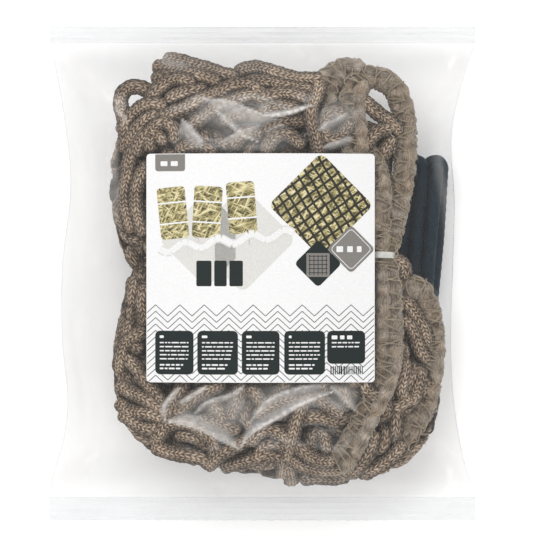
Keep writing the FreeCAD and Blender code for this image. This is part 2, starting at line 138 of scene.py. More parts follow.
def add_camera():
    """Straight above the bag, from far away, so that nothing leans outwards."""
    height, across, aim_x, aim_y = 3000.0, 317.5, 4.4, 2.1
    data = bpy.data.cameras.new("camera")
    data.sensor_width = 36.0
    data.lens = data.sensor_width * (height - CREASE_Z) / across
    data.clip_start = 0.1
    data.clip_end = 20.0
    camera = bpy.data.objects.new("camera", data)
    camera.location = (aim_x * MM, aim_y * MM, height * MM)
    bpy.context.scene.collection.objects.link(camera)
    bpy.context.scene.camera = camera


# Each softbox's name, place and size in metres, and power in watts.
SOFTBOXES = [
    ("key_softbox", (-0.45, 1.20, 2.00), (1.8, 1.4), 50.0),
    ("south_softbox", (0.30, -1.25, 1.50), (1.6, 1.2), 38.0),
    ("west_softbox", (-1.50, -0.10, 1.10), (0.7, 1.0), 19.0)]


def add_softbox(name, place, size, power):
    """A rectangular lamp that faces the object."""
    data = bpy.data.lights.new(name, "AREA")
    data.shape = "RECTANGLE"
    data.size, data.size_y = size
    data.energy = power
    lamp = bpy.data.objects.new(name, data)
    lamp.location = place
    lamp.rotation_euler = vector_angles(-np.array(place))
    bpy.context.scene.collection.objects.link(lamp)


def vector_angles(towards):
    """Euler angles that turn a lamp's -Z to this direction."""
    x, y, z = towards / np.linalg.norm(towards)
    return math.acos(-z), 0.0, math.atan2(x, -y)


def add_stage():
    """Even pale surroundings, three softboxes and a pale floor."""
    world = bpy.data.worlds.new("studio")
    world.use_nodes = True
    background = world.node_tree.nodes["Background"]
    background.inputs["Color"].default_value = (1.0, 0.995, 0.985, 1.0)
    background.inputs["Strength"].default_value = 0.66
    bpy.context.scene.world = world
    bpy.context.scene.view_settings.view_transform = "Standard"
    for name, place, size, power in SOFTBOXES:
        add_softbox(name, place, size, power)
    bpy.ops.mesh.primitive_grid_add(x_subdivisions=8, y_subdivisions=8, size=6.0, location=(0, 0, -0.5 * MM))
    floor = bpy.context.object
    floor.name = "floor"
    material, tree = new_material("pale_floor")
    grain = put(tree, "ShaderNodeTexNoise", {"Scale": 90.0, "Detail": 3.0}).outputs["Fac"]
    floor.data.materials.append(finish_principled(material, tree, {
        "Base Color": ramp(tree, grain, [(0.3, 0.93), (0.7, 0.96)]), "Roughness": 0.9,
        "Emission Color": (1.0, 1.0, 1.0), "Emission Strength": 0.20}))


# ---------------------------------------------------------------- materials

def new_material(name):
    """An empty material and its node tree."""
    material = bpy.data.materials.new(name)
    material.use_nodes = True
    material.node_tree.nodes.clear()
    return material, material.node_tree


def put(tree, kind, inputs=None, **settings):
    """Adds a node. inputs gives values or the sockets that feed it, by input name or number."""
    made = tree.nodes.new(kind)
    for key, value in settings.items():
        setattr(made, key, value)
    for key, value in (inputs or {}).items():
        socket = made.inputs[key]
        if isinstance(value, bpy.types.NodeSocket):
            tree.links.new(value, socket)
        elif isinstance(value, tuple) and len(value) == 3 and socket.type == "RGBA":
            socket.default_value = (*value, 1.0)
        else:
            socket.default_value = value
    return made


def math_node(tree, operation, *inputs, clamp=False):
    made = put(tree, "ShaderNodeMath", dict(enumerate(inputs)), operation=operation, use_clamp=clamp)
    return made.outputs[0]


def multiply(tree, first, second):
    return math_node(tree, "MULTIPLY", first, second)


def multiply_add(tree, first, second, third, clamp=False):
    return math_node(tree, "MULTIPLY_ADD", first, second, third, clamp=clamp)


def zigzag(tree, value):
    """Rises to 0.5 and falls back to 0 over each whole step of value."""
    return math_node(tree, "PINGPONG", value, 0.5)


def ramp(tree, factor, stops):
    """A colour ramp through (place, colour) stops. One number as a colour is a grey."""
    made = put(tree, "ShaderNodeValToRGB", {"Fac": factor})
    elements = made.color_ramp.elements
    while len(elements) < len(stops):
        elements.new(0.5)
    for element, (place, colour) in zip(elements, stops):
        element.position = place
        element.color = (*colour, 1.0) if isinstance(colour, tuple) else (colour, colour, colour, 1.0)
    return made.outputs["Color"]


def mix_colour(tree, factor, first, second, blend="MIX"):
    """Mixes two colours. The Mix node's inputs 0, 6 and 7 are its factor and its two colours."""
    inputs = {0: factor, 6: first, 7: second}
    return put(tree, "ShaderNodeMix", inputs, data_type="RGBA", blend_type=blend).outputs[2]


def noise_at(tree, place, scale, detail=2.0):
    made = put(tree, "ShaderNodeTexNoise", {"Vector": place, "Scale": scale, "Detail": detail})
    return made.outputs["Fac"]


def mapping(tree, place, **inputs):
    return put(tree, "ShaderNodeMapping", {"Vector": place, **inputs}).outputs[0]


def object_noise(tree, scale, detail=2.0, stretch=(1.0, 1.0, 1.0)):
    """Noise in object space, finer along the axes with a larger stretch."""
    place = put(tree, "ShaderNodeTexCoord").outputs["Object"]
    return noise_at(tree, mapping(tree, place, Scale=stretch), scale, detail)


def bump(tree, height, depth, strength=1.0):
    """A normal for a surface that stands out by depth, in metres, where height is 1."""
    made = put(tree, "ShaderNodeBump", {"Height": height, "Distance": depth, "Strength": strength})
    return made.outputs["Normal"]


def finish(material, tree, shader):
    """Gives the material this shader."""
    put(tree, "ShaderNodeOutputMaterial", {"Surface": shader.outputs[0]})
    return material


def finish_principled(material, tree, inputs):
    """Gives the material a principled shader with these inputs."""
    return finish(material, tree, put(tree, "ShaderNodeBsdfPrincipled", inputs))


def speckled(name, scale, stops, inputs, depth=0.0, strength=1.0):
    """A material whose colour varies with a fine noise, which also makes bumps of this depth."""
    material, tree = new_material(name)
    noise = object_noise(tree, scale)
    given = {"Base Color": ramp(tree, noise, stops), **inputs}
    if depth:
        given["Normal"] = bump(tree, noise, depth, strength)
    return finish_principled(material, tree, given)


def knit_uv(tree):
    """The two parts of a swept tube's UV: stitches along it, and columns round it from its outer side."""
    uv = put(tree, "ShaderNodeUVMap", uv_map="knit").outputs["UV"]
    parts = put(tree, "ShaderNodeSeparateXYZ", {"Vector": uv}).outputs
    return parts[0], parts[1]


STITCH_SLANT = 0.8      # how far a stitch's legs run along the cord, in stitches
# Painted shade in the gaps between stitches, the yarn's own colour, and a painted highlight on the stitches'
# crests.
KNIT_GAP_SHADE = (0.054, 0.039, 0.028)
KNIT_YARN = (0.285, 0.206, 0.146)
KNIT_CREST_HIGHLIGHT = (0.70, 0.575, 0.455)
# Painted shade on the cord's sides and underside.
KNIT_SIDE_SHADE = (0.13, 0.105, 0.08)


def knit_material():
    """Knitted cord: columns of V stitches, with painted shade in their gaps, a painted highlight on their
    crests, and painted shade where the cord turns under.
    """
    material, tree = new_material("knitted_cord")
    stitch, column = knit_uv(tree)
    from_middle = math_node(tree, "SUBTRACT", math_node(tree, "FRACT", column), 0.5)
    from_middle = math_node(tree, "ABSOLUTE", from_middle)
    slanted = multiply_add(tree, from_middle, 2 * STITCH_SLANT, stitch)
    slanted = multiply_add(tree, object_noise(tree, 150.0), 1.9, slanted)
    hump = multiply(tree, zigzag(tree, slanted), 2.0)
    leg = math_node(tree, "SINE", multiply(tree, from_middle, 2 * math.pi))
    relief = multiply(tree, hump, math_node(tree, "POWER", leg, 0.55))
    cell = put(tree, "ShaderNodeCombineXYZ", {
        0: math_node(tree, "FLOOR", slanted), 1: math_node(tree, "FLOOR", column)}).outputs[0]
    lot = put(tree, "ShaderNodeTexWhiteNoise", {"Vector": cell}, noise_dimensions="2D").outputs["Value"]
    strands = zigzag(tree, multiply(tree, slanted, 2.5))
    fibres = object_noise(tree, 2300.0, 1.0)
    # The shade is relief * 0.86 + lot * 0.26 + strands * 0.22 + fibres * 0.24 - 0.18.
    shade = multiply_add(tree, relief, 0.86, multiply(tree, lot, 0.26))
    shade = multiply_add(tree, strands, 0.22, shade)
    shade = multiply_add(tree, fibres, 0.24, math_node(tree, "SUBTRACT", shade, 0.18))
    # Low relief gets painted shade in the gaps between stitches, high relief a painted highlight on their
    # crests; the lot and fibre noise are the yarn's own uneven tone.
    colour = ramp(tree, shade, [(0.12, KNIT_GAP_SHADE), (0.42, KNIT_YARN), (0.90, KNIT_CREST_HIGHLIGHT)])
    broad = object_noise(tree, 40.0)
    tint = ramp(tree, broad, [(0.30, (0.74, 0.72, 0.69)), (0.70, (1.10, 1.09, 1.07))])
    colour = mix_colour(tree, 1.0, colour, tint, "MULTIPLY")
    # Painted shade: the cord darkens as it turns away from its outer side, towards its sides and underside
    # where other cords touch it.
    painted_light_facing = math_node(tree, "COSINE", multiply(tree, column, 2 * math.pi / COLUMNS))
    painted_light_facing = math_node(tree, "POWER", math_node(tree, "MAXIMUM", painted_light_facing, 0.0), 2.0)
    side = ramp(tree, painted_light_facing, [(0.0, KNIT_SIDE_SHADE), (0.85, 1.0)])
    height = multiply_add(tree, fibres, 0.30, multiply_add(tree, strands, 0.30, relief))
    return finish_principled(material, tree, {
        "Base Color": mix_colour(tree, 1.0, colour, side, "MULTIPLY"),
        "Normal": bump(tree, height, 0.45 * MM), "Roughness": 0.85, "Specular IOR Level": 0.2,
        "Sheen Weight": 0.15, "Sheen Roughness": 0.5})


def film_material():
    """Clear film: mostly see-through and glossy at low angles, with white mixed in as a faint milky streaking
    and as painted sheen where it is creased, folded or rests on the netting, more faintly on the back.
    """
    material, tree = new_material("clear_film")
    painted_sheen_mask = put(tree, "ShaderNodeAttribute", attribute_name="haze_and_painted_sheen").outputs["Fac"]
    # Where the painted sheen is strong, it breaks up over the stitches that the film rests on.
    strong = multiply_add(tree, painted_sheen_mask, 4.0, -0.8, clamp=True)
    stitches = ramp(tree, object_noise(tree, 360.0), [(0.40, 0.66), (0.60, 1.06)])
    broken = mix_colour(tree, strong, (1.0, 1.0, 1.0), stitches)
    # Faint streaks of milkiness all over, and the painted sheen, mix white into the film.
    streaks = object_noise(tree, 38.0, 3.0, (1.0, 2.2, 1.0))
    haze_and_painted_sheen = multiply_add(tree, streaks, 0.02, multiply(tree, painted_sheen_mask, broken), clamp=True)
    normal = bump(tree, object_noise(tree, 55.0, 1.0), 0.5 * MM, 0.5)
    edge_on = put(tree, "ShaderNodeLayerWeight", {"Normal": normal}).outputs["Facing"]
    shine = multiply_add(tree, math_node(tree, "POWER", edge_on, 4.0), 0.50, 0.034, clamp=True)
    gloss = put(tree, "ShaderNodeBsdfGlossy", {
        "Normal": normal, "Color": (0.95, 0.96, 0.97), "Roughness": 0.26})
    clear = put(tree, "ShaderNodeBsdfTransparent", {"Color": (0.956, 0.957, 0.958)})
    # The white of the milkiness and of the painted sheen.
    haze_and_sheen_white = put(tree, "ShaderNodeBsdfDiffuse", {"Normal": normal, "Color": (0.92, 0.885, 0.855)})
    surface = put(tree, "ShaderNodeMixShader", {0: shine, 1: clear.outputs[0], 2: gloss.outputs[0]})
    return finish(material, tree, put(tree, "ShaderNodeMixShader", {
        0: haze_and_painted_sheen, 1: surface.outputs[0], 2: haze_and_sheen_white.outputs[0]}))


def seal_material():
    """Welded film: two layers pressed into one, milkier than the rest of the bag."""
    material, tree = new_material("welded_film")
    milk = multiply_add(tree, object_noise(tree, 90.0, 2.0, (0.3, 3.0, 1.0)), 0.25, 0.10)
    normal = bump(tree, object_noise(tree, 300.0), 0.2 * MM, 0.5)
    clear = put(tree, "ShaderNodeBsdfTransparent", {"Color": (0.93, 0.935, 0.94)})
    plastic = put(tree, "ShaderNodeBsdfPrincipled", {
        "Base Color": (0.80, 0.80, 0.81), "Roughness": 0.22, "Normal": normal})
    return finish(material, tree, put(tree, "ShaderNodeMixShader", {
        0: milk, 1: clear.outputs[0], 2: plastic.outputs[0]}))


def braid_material():
    """Black polypropylene braid."""
    material, tree = new_material("black_braid")
    stitch, column = knit_uv(tree)
    fibres = zigzag(tree, multiply(tree, math_node(tree, "ADD", stitch, column), 3.0))
    shade = multiply_add(tree, object_noise(tree, 200.0), 0.7, multiply(tree, fibres, 0.6))
    return finish_principled(material, tree, {
        "Base Color": ramp(tree, shade, [(0.25, (0.003, 0.011, 0.019)), (0.85, (0.010, 0.031, 0.050))]),
        "Roughness": 0.5, "Normal": bump(tree, fibres, 0.12 * MM), "Specular IOR Level": 0.10})


def thread_material():
    """Olive-beige sewing thread."""
    material, tree = new_material("sewing_thread")
    twist = object_noise(tree, 1900.0, 1.0)
    shade = multiply_add(tree, twist, 0.5, multiply(tree, object_noise(tree, 160.0), 0.5))
    return finish_principled(material, tree, {
        "Base Color": ramp(tree, shade, [(0.30, (0.17, 0.130, 0.082)), (0.70, (0.45, 0.372, 0.262))]),
        "Roughness": 0.6, "Normal": bump(tree, twist, 0.15 * MM), "Sheen Weight": 0.2})


def nylon_material():
    """Natural nylon of the cable tie: milky, slightly see-through."""
    stops = [(0.3, (0.62, 0.62, 0.58)), (0.7, (0.78, 0.78, 0.74))]
    radius = (0.003, 0.003, 0.003)
    return speckled("natural_nylon", 220.0, stops, {
        "Roughness": 0.35, "Subsurface Weight": 0.3, "Subsurface Radius": radius}, 0.1 * MM, 0.4)


def recolour(node, material):
    """Gives a CAD node, which keeps its shape, a better material."""
    for slot in frame["nodes"][node].material_slots:
        slot.link = "OBJECT"
        slot.material = material


# ---------------------------------------------------------------- meshes

def make_mesh(name, points, faces, material, uv=None, haze_and_painted_sheen=None):
    """A smooth mesh object from points in millimetres and face arrays, each with one number of corners."""
    counts = np.concatenate([np.full(len(group), group.shape[1], np.int32) for group in faces])
    corners = np.concatenate([group.reshape(-1) for group in faces]).astype(np.int32)
    mesh = bpy.data.meshes.new(name)
    mesh.vertices.add(len(points))
    mesh.vertices.foreach_set("co", (np.asarray(points) * MM).astype(np.float32).ravel())
    mesh.loops.add(len(corners))
    mesh.loops.foreach_set("vertex_index", corners)
    mesh.polygons.add(len(counts))
    starts = np.concatenate([[0], np.cumsum(counts)[:-1]]).astype(np.int32)
    mesh.polygons.foreach_set("loop_start", starts)
    mesh.polygons.foreach_set("use_smooth", np.full(len(counts), True))
    if uv is not None:
        mesh.uv_layers.new(name="knit").data.foreach_set("uv", uv.astype(np.float32).ravel())
    if haze_and_painted_sheen is not None:
        mesh.attributes.new("haze_and_painted_sheen", "FLOAT", "POINT").data.foreach_set("value", haze_and_painted_sheen.astype(np.float32))
    mesh.update(calc_edges=True)
    mesh.validate()
    mesh.materials.append(material)
    made = bpy.data.objects.new(name, mesh)
    bpy.context.scene.collection.objects.link(made)
    return made


def grid_quads(rows, columns, closed):
    """Faces of a grid of points that are stored row by row. Where closed, each row is a ring."""
    wide = columns if closed else columns + 1
    i = np.arange(rows)[:, None] * wide
    j = np.arange(columns)[None, :]
    k = (j + 1) % wide
    return np.stack([i + j, i + k, i + wide + k, i + wide + j], axis=-1).reshape(-1, 4)


def unit(vectors):
    """The same directions with length 1."""
    return vectors / np.maximum(np.linalg.norm(vectors, axis=-1, keepdims=True), 1e-9)


def spline_path(points, spacing=1.0):
    """Points spaced evenly along the NURBS spline that has these control points."""
    curve = bpy.data.curves.new("route", "CURVE")
    curve.dimensions = "3D"
    spline = curve.splines.new("NURBS")
    spline.points.add(len(points) - 1)
    for control, place in zip(spline.points, points):
        control.co = (*[float(value) for value in place], 1.0)
    spline.order_u = 3
    spline.use_endpoint_u = True
    spline.resolution_u = 16
    holder = bpy.data.objects.new("route", curve)
    bpy.context.scene.collection.objects.link(holder)
    line = bpy.data.meshes.new_from_object(holder)
    found = np.array([vertex.co for vertex in line.vertices], float)
    bpy.data.objects.remove(holder)
    bpy.data.curves.remove(curve)
    bpy.data.meshes.remove(line)
    return evenly(found, spacing)


def evenly(line, spacing):
    """The same line with its points spaced evenly."""
    steps = np.linalg.norm(np.diff(line, axis=0), axis=1)
    along = np.concatenate([[0], np.cumsum(steps)])
    count = max(3, int(round(along[-1] / spacing)) + 1)
    at = np.linspace(0, along[-1], count)
    return np.stack([np.interp(at, along, line[:, axis]) for axis in range(3)], axis=1)


def line_length(line):
    return float(np.linalg.norm(np.diff(line, axis=0), axis=1).sum())


def frames_along(line, guide, rounds=6):
    """Unit sideways and outward directions along a line, the outward one near the guide.

    More rounds of smoothing spread a sudden turn of the outward direction over a longer stretch.
    """
    tangent = unit(np.gradient(line, axis=0))
    outward = np.array(guide, float) * np.ones_like(line)
    for _ in range(rounds):
        outward = unit(outward - (outward * tangent).sum(1, keepdims=True) * tangent)
        outward[1:-1] = (outward[:-2] + 2 * outward[1:-1] + outward[2:]) / 4
    outward = unit(outward - (outward * tangent).sum(1, keepdims=True) * tangent)
    return np.cross(tangent, outward), outward


def plain(along, angle):
    """The relief of a smooth tube: none."""
    return 0.0 * along * angle


class Tubes:
    """Collects swept tubes into one mesh, with the UV that the knit and braid materials read."""

    def __init__(self, around, pitch, columns):
        self.around, self.pitch, self.columns = around, pitch, columns
        self.points, self.quads, self.caps, self.uv, self.size = [], [], [], [], 0

    def add(self, line, sideways, outward, half_width, half_thickness, relief, start=0.0):
        """One tube. relief(along, angle) is how far its surface stands out, in millimetres."""
        count = len(line)
        steps = np.linalg.norm(np.diff(line, axis=0), axis=1)
        along = start + np.concatenate([[0], np.cumsum(steps)])
        angle = np.arange(self.around) * 2 * math.pi / self.around
        # The ends are rounded off over half the tube's thickness.
        end = np.minimum(along - along[0], along[-1] - along) / half_thickness
        taper = np.sqrt(np.clip(1 - (1 - np.minimum(end + 0.12, 1)) ** 2, 0, 1))
        raised = relief(along[:, None], angle[None, :])
        wide = (half_width + raised) * taper[:, None] * np.sin(angle)
        thick = (half_thickness + raised) * taper[:, None] * np.cos(angle)
        ring = (line[:, None, :] + wide[..., None] * sideways[:, None, :]
                + thick[..., None] * outward[:, None, :])
        self.points.append(ring.reshape(-1, 3))
        quads = grid_quads(count - 1, self.around, closed=True)[:, [0, 3, 2, 1]]
        self.quads.append(self.size + quads)
        u = np.broadcast_to((along / self.pitch)[:, None], (count, self.around))
        v = np.broadcast_to(np.arange(self.around) * self.columns / self.around, (count - 1, self.around))
        next_v = v + self.columns / self.around
        corners = [(u[:-1], v), (u[1:], v), (u[1:], next_v), (u[:-1], next_v)]
        self.uv.append(np.stack([np.stack(corner, axis=-1) for corner in corners], axis=2).reshape(-1, 2))
        first = self.size + np.arange(self.around)
        last = first[::-1] + (count - 1) * self.around
        self.caps.append(np.stack([first, last]))
        self.size += count * self.around

    def piece(self, name, material):
        caps = np.concatenate(self.caps)
        uv = np.concatenate(self.uv + [np.zeros((caps.size, 2))])
        made = make_mesh(name, np.concatenate(self.points), [np.concatenate(self.quads), caps], material, uv)
        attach(made, "bag")
        return made


# ---------------------------------------------------------------- the suspension rope

ROPE_DIAMETER = 8.0
ROPE_PITCH = 4.9           # length of one crossing of the braid
ROPE_COLUMNS = 6           # crossings round the rope
HANK_TOP = np.array([94.5, 72.0, 22.5])
HANK_BOTTOM = np.array([84.0, -74.0, 13.5])
# Each run's place across the hank and through its depth, in the order the rope takes them.
HANK_RUNS = [(-12.0, -3.4), (-3.9, -3.3), (-8.2, 3.4), (0.2, 3.6), (4.1, -3.2), (12.0, -3.5), (8.4, 3.3)]
# How far short of the hank's end each fold stops.
FOLD_SHORT = [1.0, 0.0, 4.5, 2.0, 5.5, 1.5, 3.0, 2.5]


def rope_route():
    """Control points of the folded rope: seven runs, each turned back one or two runs further over."""
    middle = (HANK_TOP + HANK_BOTTOM) / 2
    along = unit(HANK_TOP - HANK_BOTTOM)
    across = unit(np.cross(along, UP))
    deep = np.cross(across, along)
    reach = np.linalg.norm(HANK_TOP - HANK_BOTTOM) / 2 - ROPE_DIAMETER / 2
    route = []
    for number, (side, depth) in enumerate(HANK_RUNS):
        heading = 1 if number % 2 == 0 else -1
        first = -heading * (reach - FOLD_SHORT[number])
        last = heading * (reach - FOLD_SHORT[number + 1])
        for step, share in enumerate((0.0, 0.08, 0.34, 0.64, 0.92, 1.0)):
            sway = 0.7 * math.sin(1.9 * number + 2.3 * step) if 1 < step < 5 else 0.0
            place = first + (last - first) * share
            route.append(middle + along * place + across * (side + sway) + deep * (depth - 0.4 * sway))
    return route


def braid_relief(along, angle):
    """Height of the braid: two sets of strands that wind round the rope in opposite directions."""
    turned = ROPE_COLUMNS * angle / (2 * math.pi)
    right = np.cos(math.pi * (along / ROPE_PITCH + turned))
    left = np.cos(math.pi * (along / ROPE_PITCH - turned))
    return 0.26 * (np.abs(right * left) ** 0.8 - 0.55)


def add_rope():
    """The braided rope, as one cord, and its path."""
    path = spline_path(rope_route(), 0.62)
    radius = ROPE_DIAMETER / 2 - 0.1
    tubes = Tubes(around=24, pitch=ROPE_PITCH, columns=ROPE_COLUMNS)
    tubes.add(path, *frames_along(path, UP), radius, radius, braid_relief)
    rope = tubes.piece("suspension_rope_braid", braid_material())
    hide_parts("suspension_rope")
    return path


# ---------------------------------------------------------------- the bound side seams

SEAM_RADIUS = 6.5          # half the thickness that the netting keeps clear of
YARN_WIDTH = 4.3           # half the width of each of a seam's two bundles
YARN_THICKNESS = 4.5
TIE_PLACE = (70.0, 10.85)
# The arch and the stretch down to the lower edge; the part beside the label; the end at the top.
UPPER_SEAM = [
    [(53, 62, 56), (54, 78, 55), (51.5, 95, 53), (53, 107, 46), (59, 114.5, 39), (67, 116, 37),
     (78, 109, 36.5), (82.6, 96, 37.5), (83.8, 81.4, 39.3), (83.5, 62, 41), (80, 43.2, 43), (76, 25, 45),
     (72.5, 11, 46.5), (73, -2, 49), (74.5, -27.3, 49.4), (73.5, -53.8, 49.9), (68, -70, 52),
     (60, -84, 54), (54, -96, 54), (49, -106, 50), (43, -112, 46)],
    [(57, 76, 49), (65, 66, 50), (68.5, 52, 50.5), (69, 36, 50), (68, 20, 49), (68.5, 6, 48.5)],
    [(60, 117, 38), (50, 119, 37.5), (43, 117, 40), (37, 111, 45), (35, 101, 50), (36, 92, 52)]]
RIGHT_SEAM = [
    [(79, -19, 35.5), (83.8, -9, 39), (91.2, -7, 36.4), (97, -16, 32.3), (100.4, -33.2, 29.8),
     (100.5, -53.8, 29.5), (96.8, -73, 31.2), (88.5, -90, 33), (77.9, -102, 34)]]
WRAP_EVERY = 9.0           # average distance between bands of thread
THREAD = 0.85              # the thread's thickness
THREAD_STEP = 0.25         # distance between the places where the thread's angle is worked out


def wraps(along):
    """How many bands of thread lie before each place: they are spaced unevenly."""
    return along / WRAP_EVERY + 0.28 * np.sin(along * 0.17) + 0.12 * np.sin(along * 0.41 + 1.0)


def seam_spread(path):
    """How far each bundle lies from the seam's middle: flat beside the label, pinched by the cable tie."""
    x, y = path[:, 0], path[:, 1]
    flat = np.maximum(smooth_step(-20, 10, -y), smooth_step(-62, -54, -x)) * smooth_step(-95, -80, -x)
    from_tie = np.hypot(x - TIE_PLACE[0], y - TIE_PLACE[1])
    return (2.6 + 1.4 * flat) * (1 - 0.4 * np.exp(-(from_tie / 9) ** 2))


def yarn_relief(along, angle):
    """Height of a bundle of yarn: it swells between the bands of thread, with filaments and lumps."""
    between = np.abs(np.sin(math.pi * wraps(along)))
    filaments = np.cos(14 * angle + 1.6 * np.sin(along / 3.0))
    lumps = np.sin(along * 0.53 + 2 * angle) + np.sin(along * 0.83 - 3 * angle + 1.0)
    return 0.55 * between ** 0.7 - 0.45 + 0.09 * filaments + 0.34 * lumps


def add_seam(node, routes, turns):
    """The bound netting edge: two bundles of yarn side by side, twisted back and forth."""
    tubes = Tubes(around=28, pitch=WRAP_EVERY, columns=20)
    paths = [spline_path(route, 0.8) for route in routes]
    for path in paths:
        sideways, outward = frames_along(path, UP)
        twist = 0.6 * np.sin(2 * math.pi * turns * np.linspace(0, 1, len(path)))
        for side in (1, -1):
            apart = side * seam_spread(path)
            offset = (apart * np.cos(twist))[:, None] * sideways + (apart * np.sin(twist))[:, None] * outward
            start = (1 - side) * WRAP_EVERY / 4
            tubes.add(path + offset, sideways, outward, YARN_WIDTH, YARN_THICKNESS, yarn_relief, start)
    made = tubes.piece(node + "_bound_yarn", seam_material())
    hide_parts(node)
    return paths


def seam_material():
    """Bundled yarn of the seam: fine filaments along it, greyer and smoother than the knitted cord, with
    painted shade at the bands of thread.
    """
    material, tree = new_material("bundled_yarn")
    stitch, column = knit_uv(tree)
    filament = zigzag(tree, multiply_add(tree, object_noise(tree, 120.0), 9.0, multiply(tree, column, 0.8)))
    uneven = object_noise(tree, 210.0, 3.0)
    # Painted shade: darker at each band of thread, where it pinches the yarn, lighter between the bands.
    band = multiply(tree, zigzag(tree, stitch), 0.40)
    shade = multiply_add(tree, uneven, 0.90, multiply(tree, filament, 0.6))
    colour = ramp(tree, math_node(tree, "ADD", shade, band), [
        (0.36, (0.085, 0.064, 0.045)), (0.68, (0.255, 0.202, 0.150)), (1.00, (0.46, 0.395, 0.33))])
    tint = ramp(tree, object_noise(tree, 70.0), [(0.35, (1.0, 0.92, 0.82)), (0.65, (0.94, 0.96, 0.98))])
    return finish_principled(material, tree, {
        "Base Color": mix_colour(tree, 1.0, colour, tint, "MULTIPLY"), "Roughness": 0.75,
        "Normal": bump(tree, filament, 0.3 * MM), "Sheen Weight": 0.25})


# Threads that swing over the seam: middle and swing in radians from its right side, mm per stitch.
ZIGZAGS = [(1.55, 1.0, 17.0), (0.62, 0.26, 8.6), (2.50, 0.26, 9.8)]


def add_seam_thread(node, paths, phase):
    """Sewing thread: turns round the seam, zigzags over its front and a wavy line along each edge."""
    tubes = Tubes(around=6, pitch=1.5, columns=2)
    for path in paths:
        path = evenly(path, THREAD_STEP)
        sideways, outward = frames_along(path, UP, 2)
        along = np.linspace(0, line_length(path), len(path))
        local = wraps(along)
        in_band = np.exp(-((local - np.round(local)) * WRAP_EVERY / 2.0) ** 4)
        puff = 0.5 * np.abs(np.sin(math.pi * local)) ** 0.7
        turns_per_mm = 0.046 + 0.2392 * in_band
        angles = [phase + 2 * math.pi * np.cumsum(turns_per_mm) * THREAD_STEP]
        for number, (middle, swing, stitch) in enumerate(ZIGZAGS):
            wave = 2 * math.pi * along / stitch + 0.9 * np.sin(along * 0.13 + number)
            angles.append(middle + swing * np.sin(wave + phase))
        high = 5.5 + puff
        for number, angle in enumerate(angles):
            wide = 4.05 + seam_spread(path) + puff + 0.25 * np.sin(along * 1.3 + number)
            line = (path + (wide * np.cos(angle))[:, None] * sideways
                    + (high * np.sin(angle))[:, None] * outward)
            line = evenly(line, 0.62)
            tubes.add(line, *frames_along(line, UP, 1), THREAD / 2, THREAD / 2, plain)
    made = tubes.piece(node + "_turns", thread_material())
    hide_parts(node)


# ---------------------------------------------------------------- the netting

MESH_SIDE = 45.0           # from knot to knot
MESHES = 16                # along each side of a panel
LEG_STEPS = 5              # particles along one side of a mesh
LINK = MESH_SIDE / LEG_STEPS
CORD_WIDTH = 8.8
CORD_THICKNESS = 7.0
TOUCH = 4.3                # a particle's radius where cords can be seen
TOUCH_DEEP = 2.2           # and where they are pressed flat, deep in the bundle
SEEN_DEPTH = 15.0          # how deep into the bundle a viewer can see
JUNCTION = 2.6             # how close two cords lie where they are knitted together
STITCH = 2.8               # length of one knitted stitch
COLUMNS = 8                # columns of stitches round a cord
CLEARANCE = 1.2            # between a cord and the film
FOLDS = np.array([3, 2.4])  # how many widths a panel is folded into, across and along
FOLDED_WIDTH = 186         # of the bundle that the panels are folded into
FOLDED_HEIGHT = 232
BUNDLE_HALF = (98, 124, 30)  # half the bundle's width, height and thickness
ROUNDS = 170               # of the simulation that settles them
LOOK_EVERY = 3             # rounds between searches for the particles that are near each other
LOOK_MARGIN = 5.0          # how much further apart than touching they may be when found
FINE_STEPS = 13            # rings on each link of a cord that can be seen
COARSE_STEPS = 4
NET_CENTRE = np.array([9.0, 0.0])
# Outline of the folded netting seen from the front, anticlockwise from its right side.
NET_OUTLINE = [
    (72, 40), (73, 60), (77, 74), (73, 85), (59, 93), (55, 106), (40, 116), (13, 118.5), (-24, 121),
    (-58, 121), (-65, 106), (-74, 92), (-84, 84), (-90, 62), (-87, 28), (-77, 3), (-81, -16), (-87, -64),
    (-84, -86), (-64, -106), (-32, -113), (-3, -118), (20, -125), (51, -123), (81, -115), (98, -98),
    (104, -75), (104, -60), (90, -44), (80, -24), (74, -6), (71, 15)]
# Dark gaps between the cords of the front: (x, y, reach, depth).
HOLLOWS = [
    (-72, 90, 5.5, 18), (-55, 107, 5, 15), (-28, 112, 5, 14), (-76, -76, 4.5, 14), (-39, -100, 7, 18),
    (-21, -79, 5, 15), (-57, -67, 5, 15), (9, 87, 5, 15), (40, 74, 7, 16), (33, 92, 4, 14),
    (19, 103, 4.5, 14), (66, 86, 5, 14), (75, 64, 5, 16), (88, -46, 6, 20), (3, -87, 5, 16), (32, -96, 8, 14),
    (21, -104, 3.5, 14), (-53, -94, 4, 14), (-74, 3, 4, 14), (-76, -42, 3.5, 12), (-70, 28, 4, 14),
    (-27, 73, 4, 13), (-13, 82, 4, 13), (-66, -81, 3.5, 13), (-4, -112, 3.5, 12), (58, -96, 4, 14)]


def outline_reach(x, y):
    """How far the netting reaches from its centre in the direction of (x, y)."""
    corners = np.array(NET_OUTLINE) - NET_CENTRE
    angles = np.arctan2(corners[:, 1], corners[:, 0])
    order = np.argsort(angles)
    reach = np.hypot(corners[:, 0], corners[:, 1])[order]
    return np.interp(np.arctan2(y, x), angles[order], reach, period=2 * math.pi)


def under_film(x, y, gap):
    """Height of what lies this far under the front film, measured square to the film."""
    room = np.minimum(FILM_HIGH[1] - y, y - FILM_LOW[1])
    height = bag_top(x, y)
    full = (height - CREASE_Z) / np.maximum(swell(y), 0.05)
    steep_y = full * SWELL / SHOULDER * np.clip(1 - room / SHOULDER, 0, 1) ** (SWELL - 1)
    steep_x = swell(y) * nominal_x(x, y) / CROWN_RADIUS
    return height - gap * np.sqrt(1 + steep_x**2 + steep_y**2)


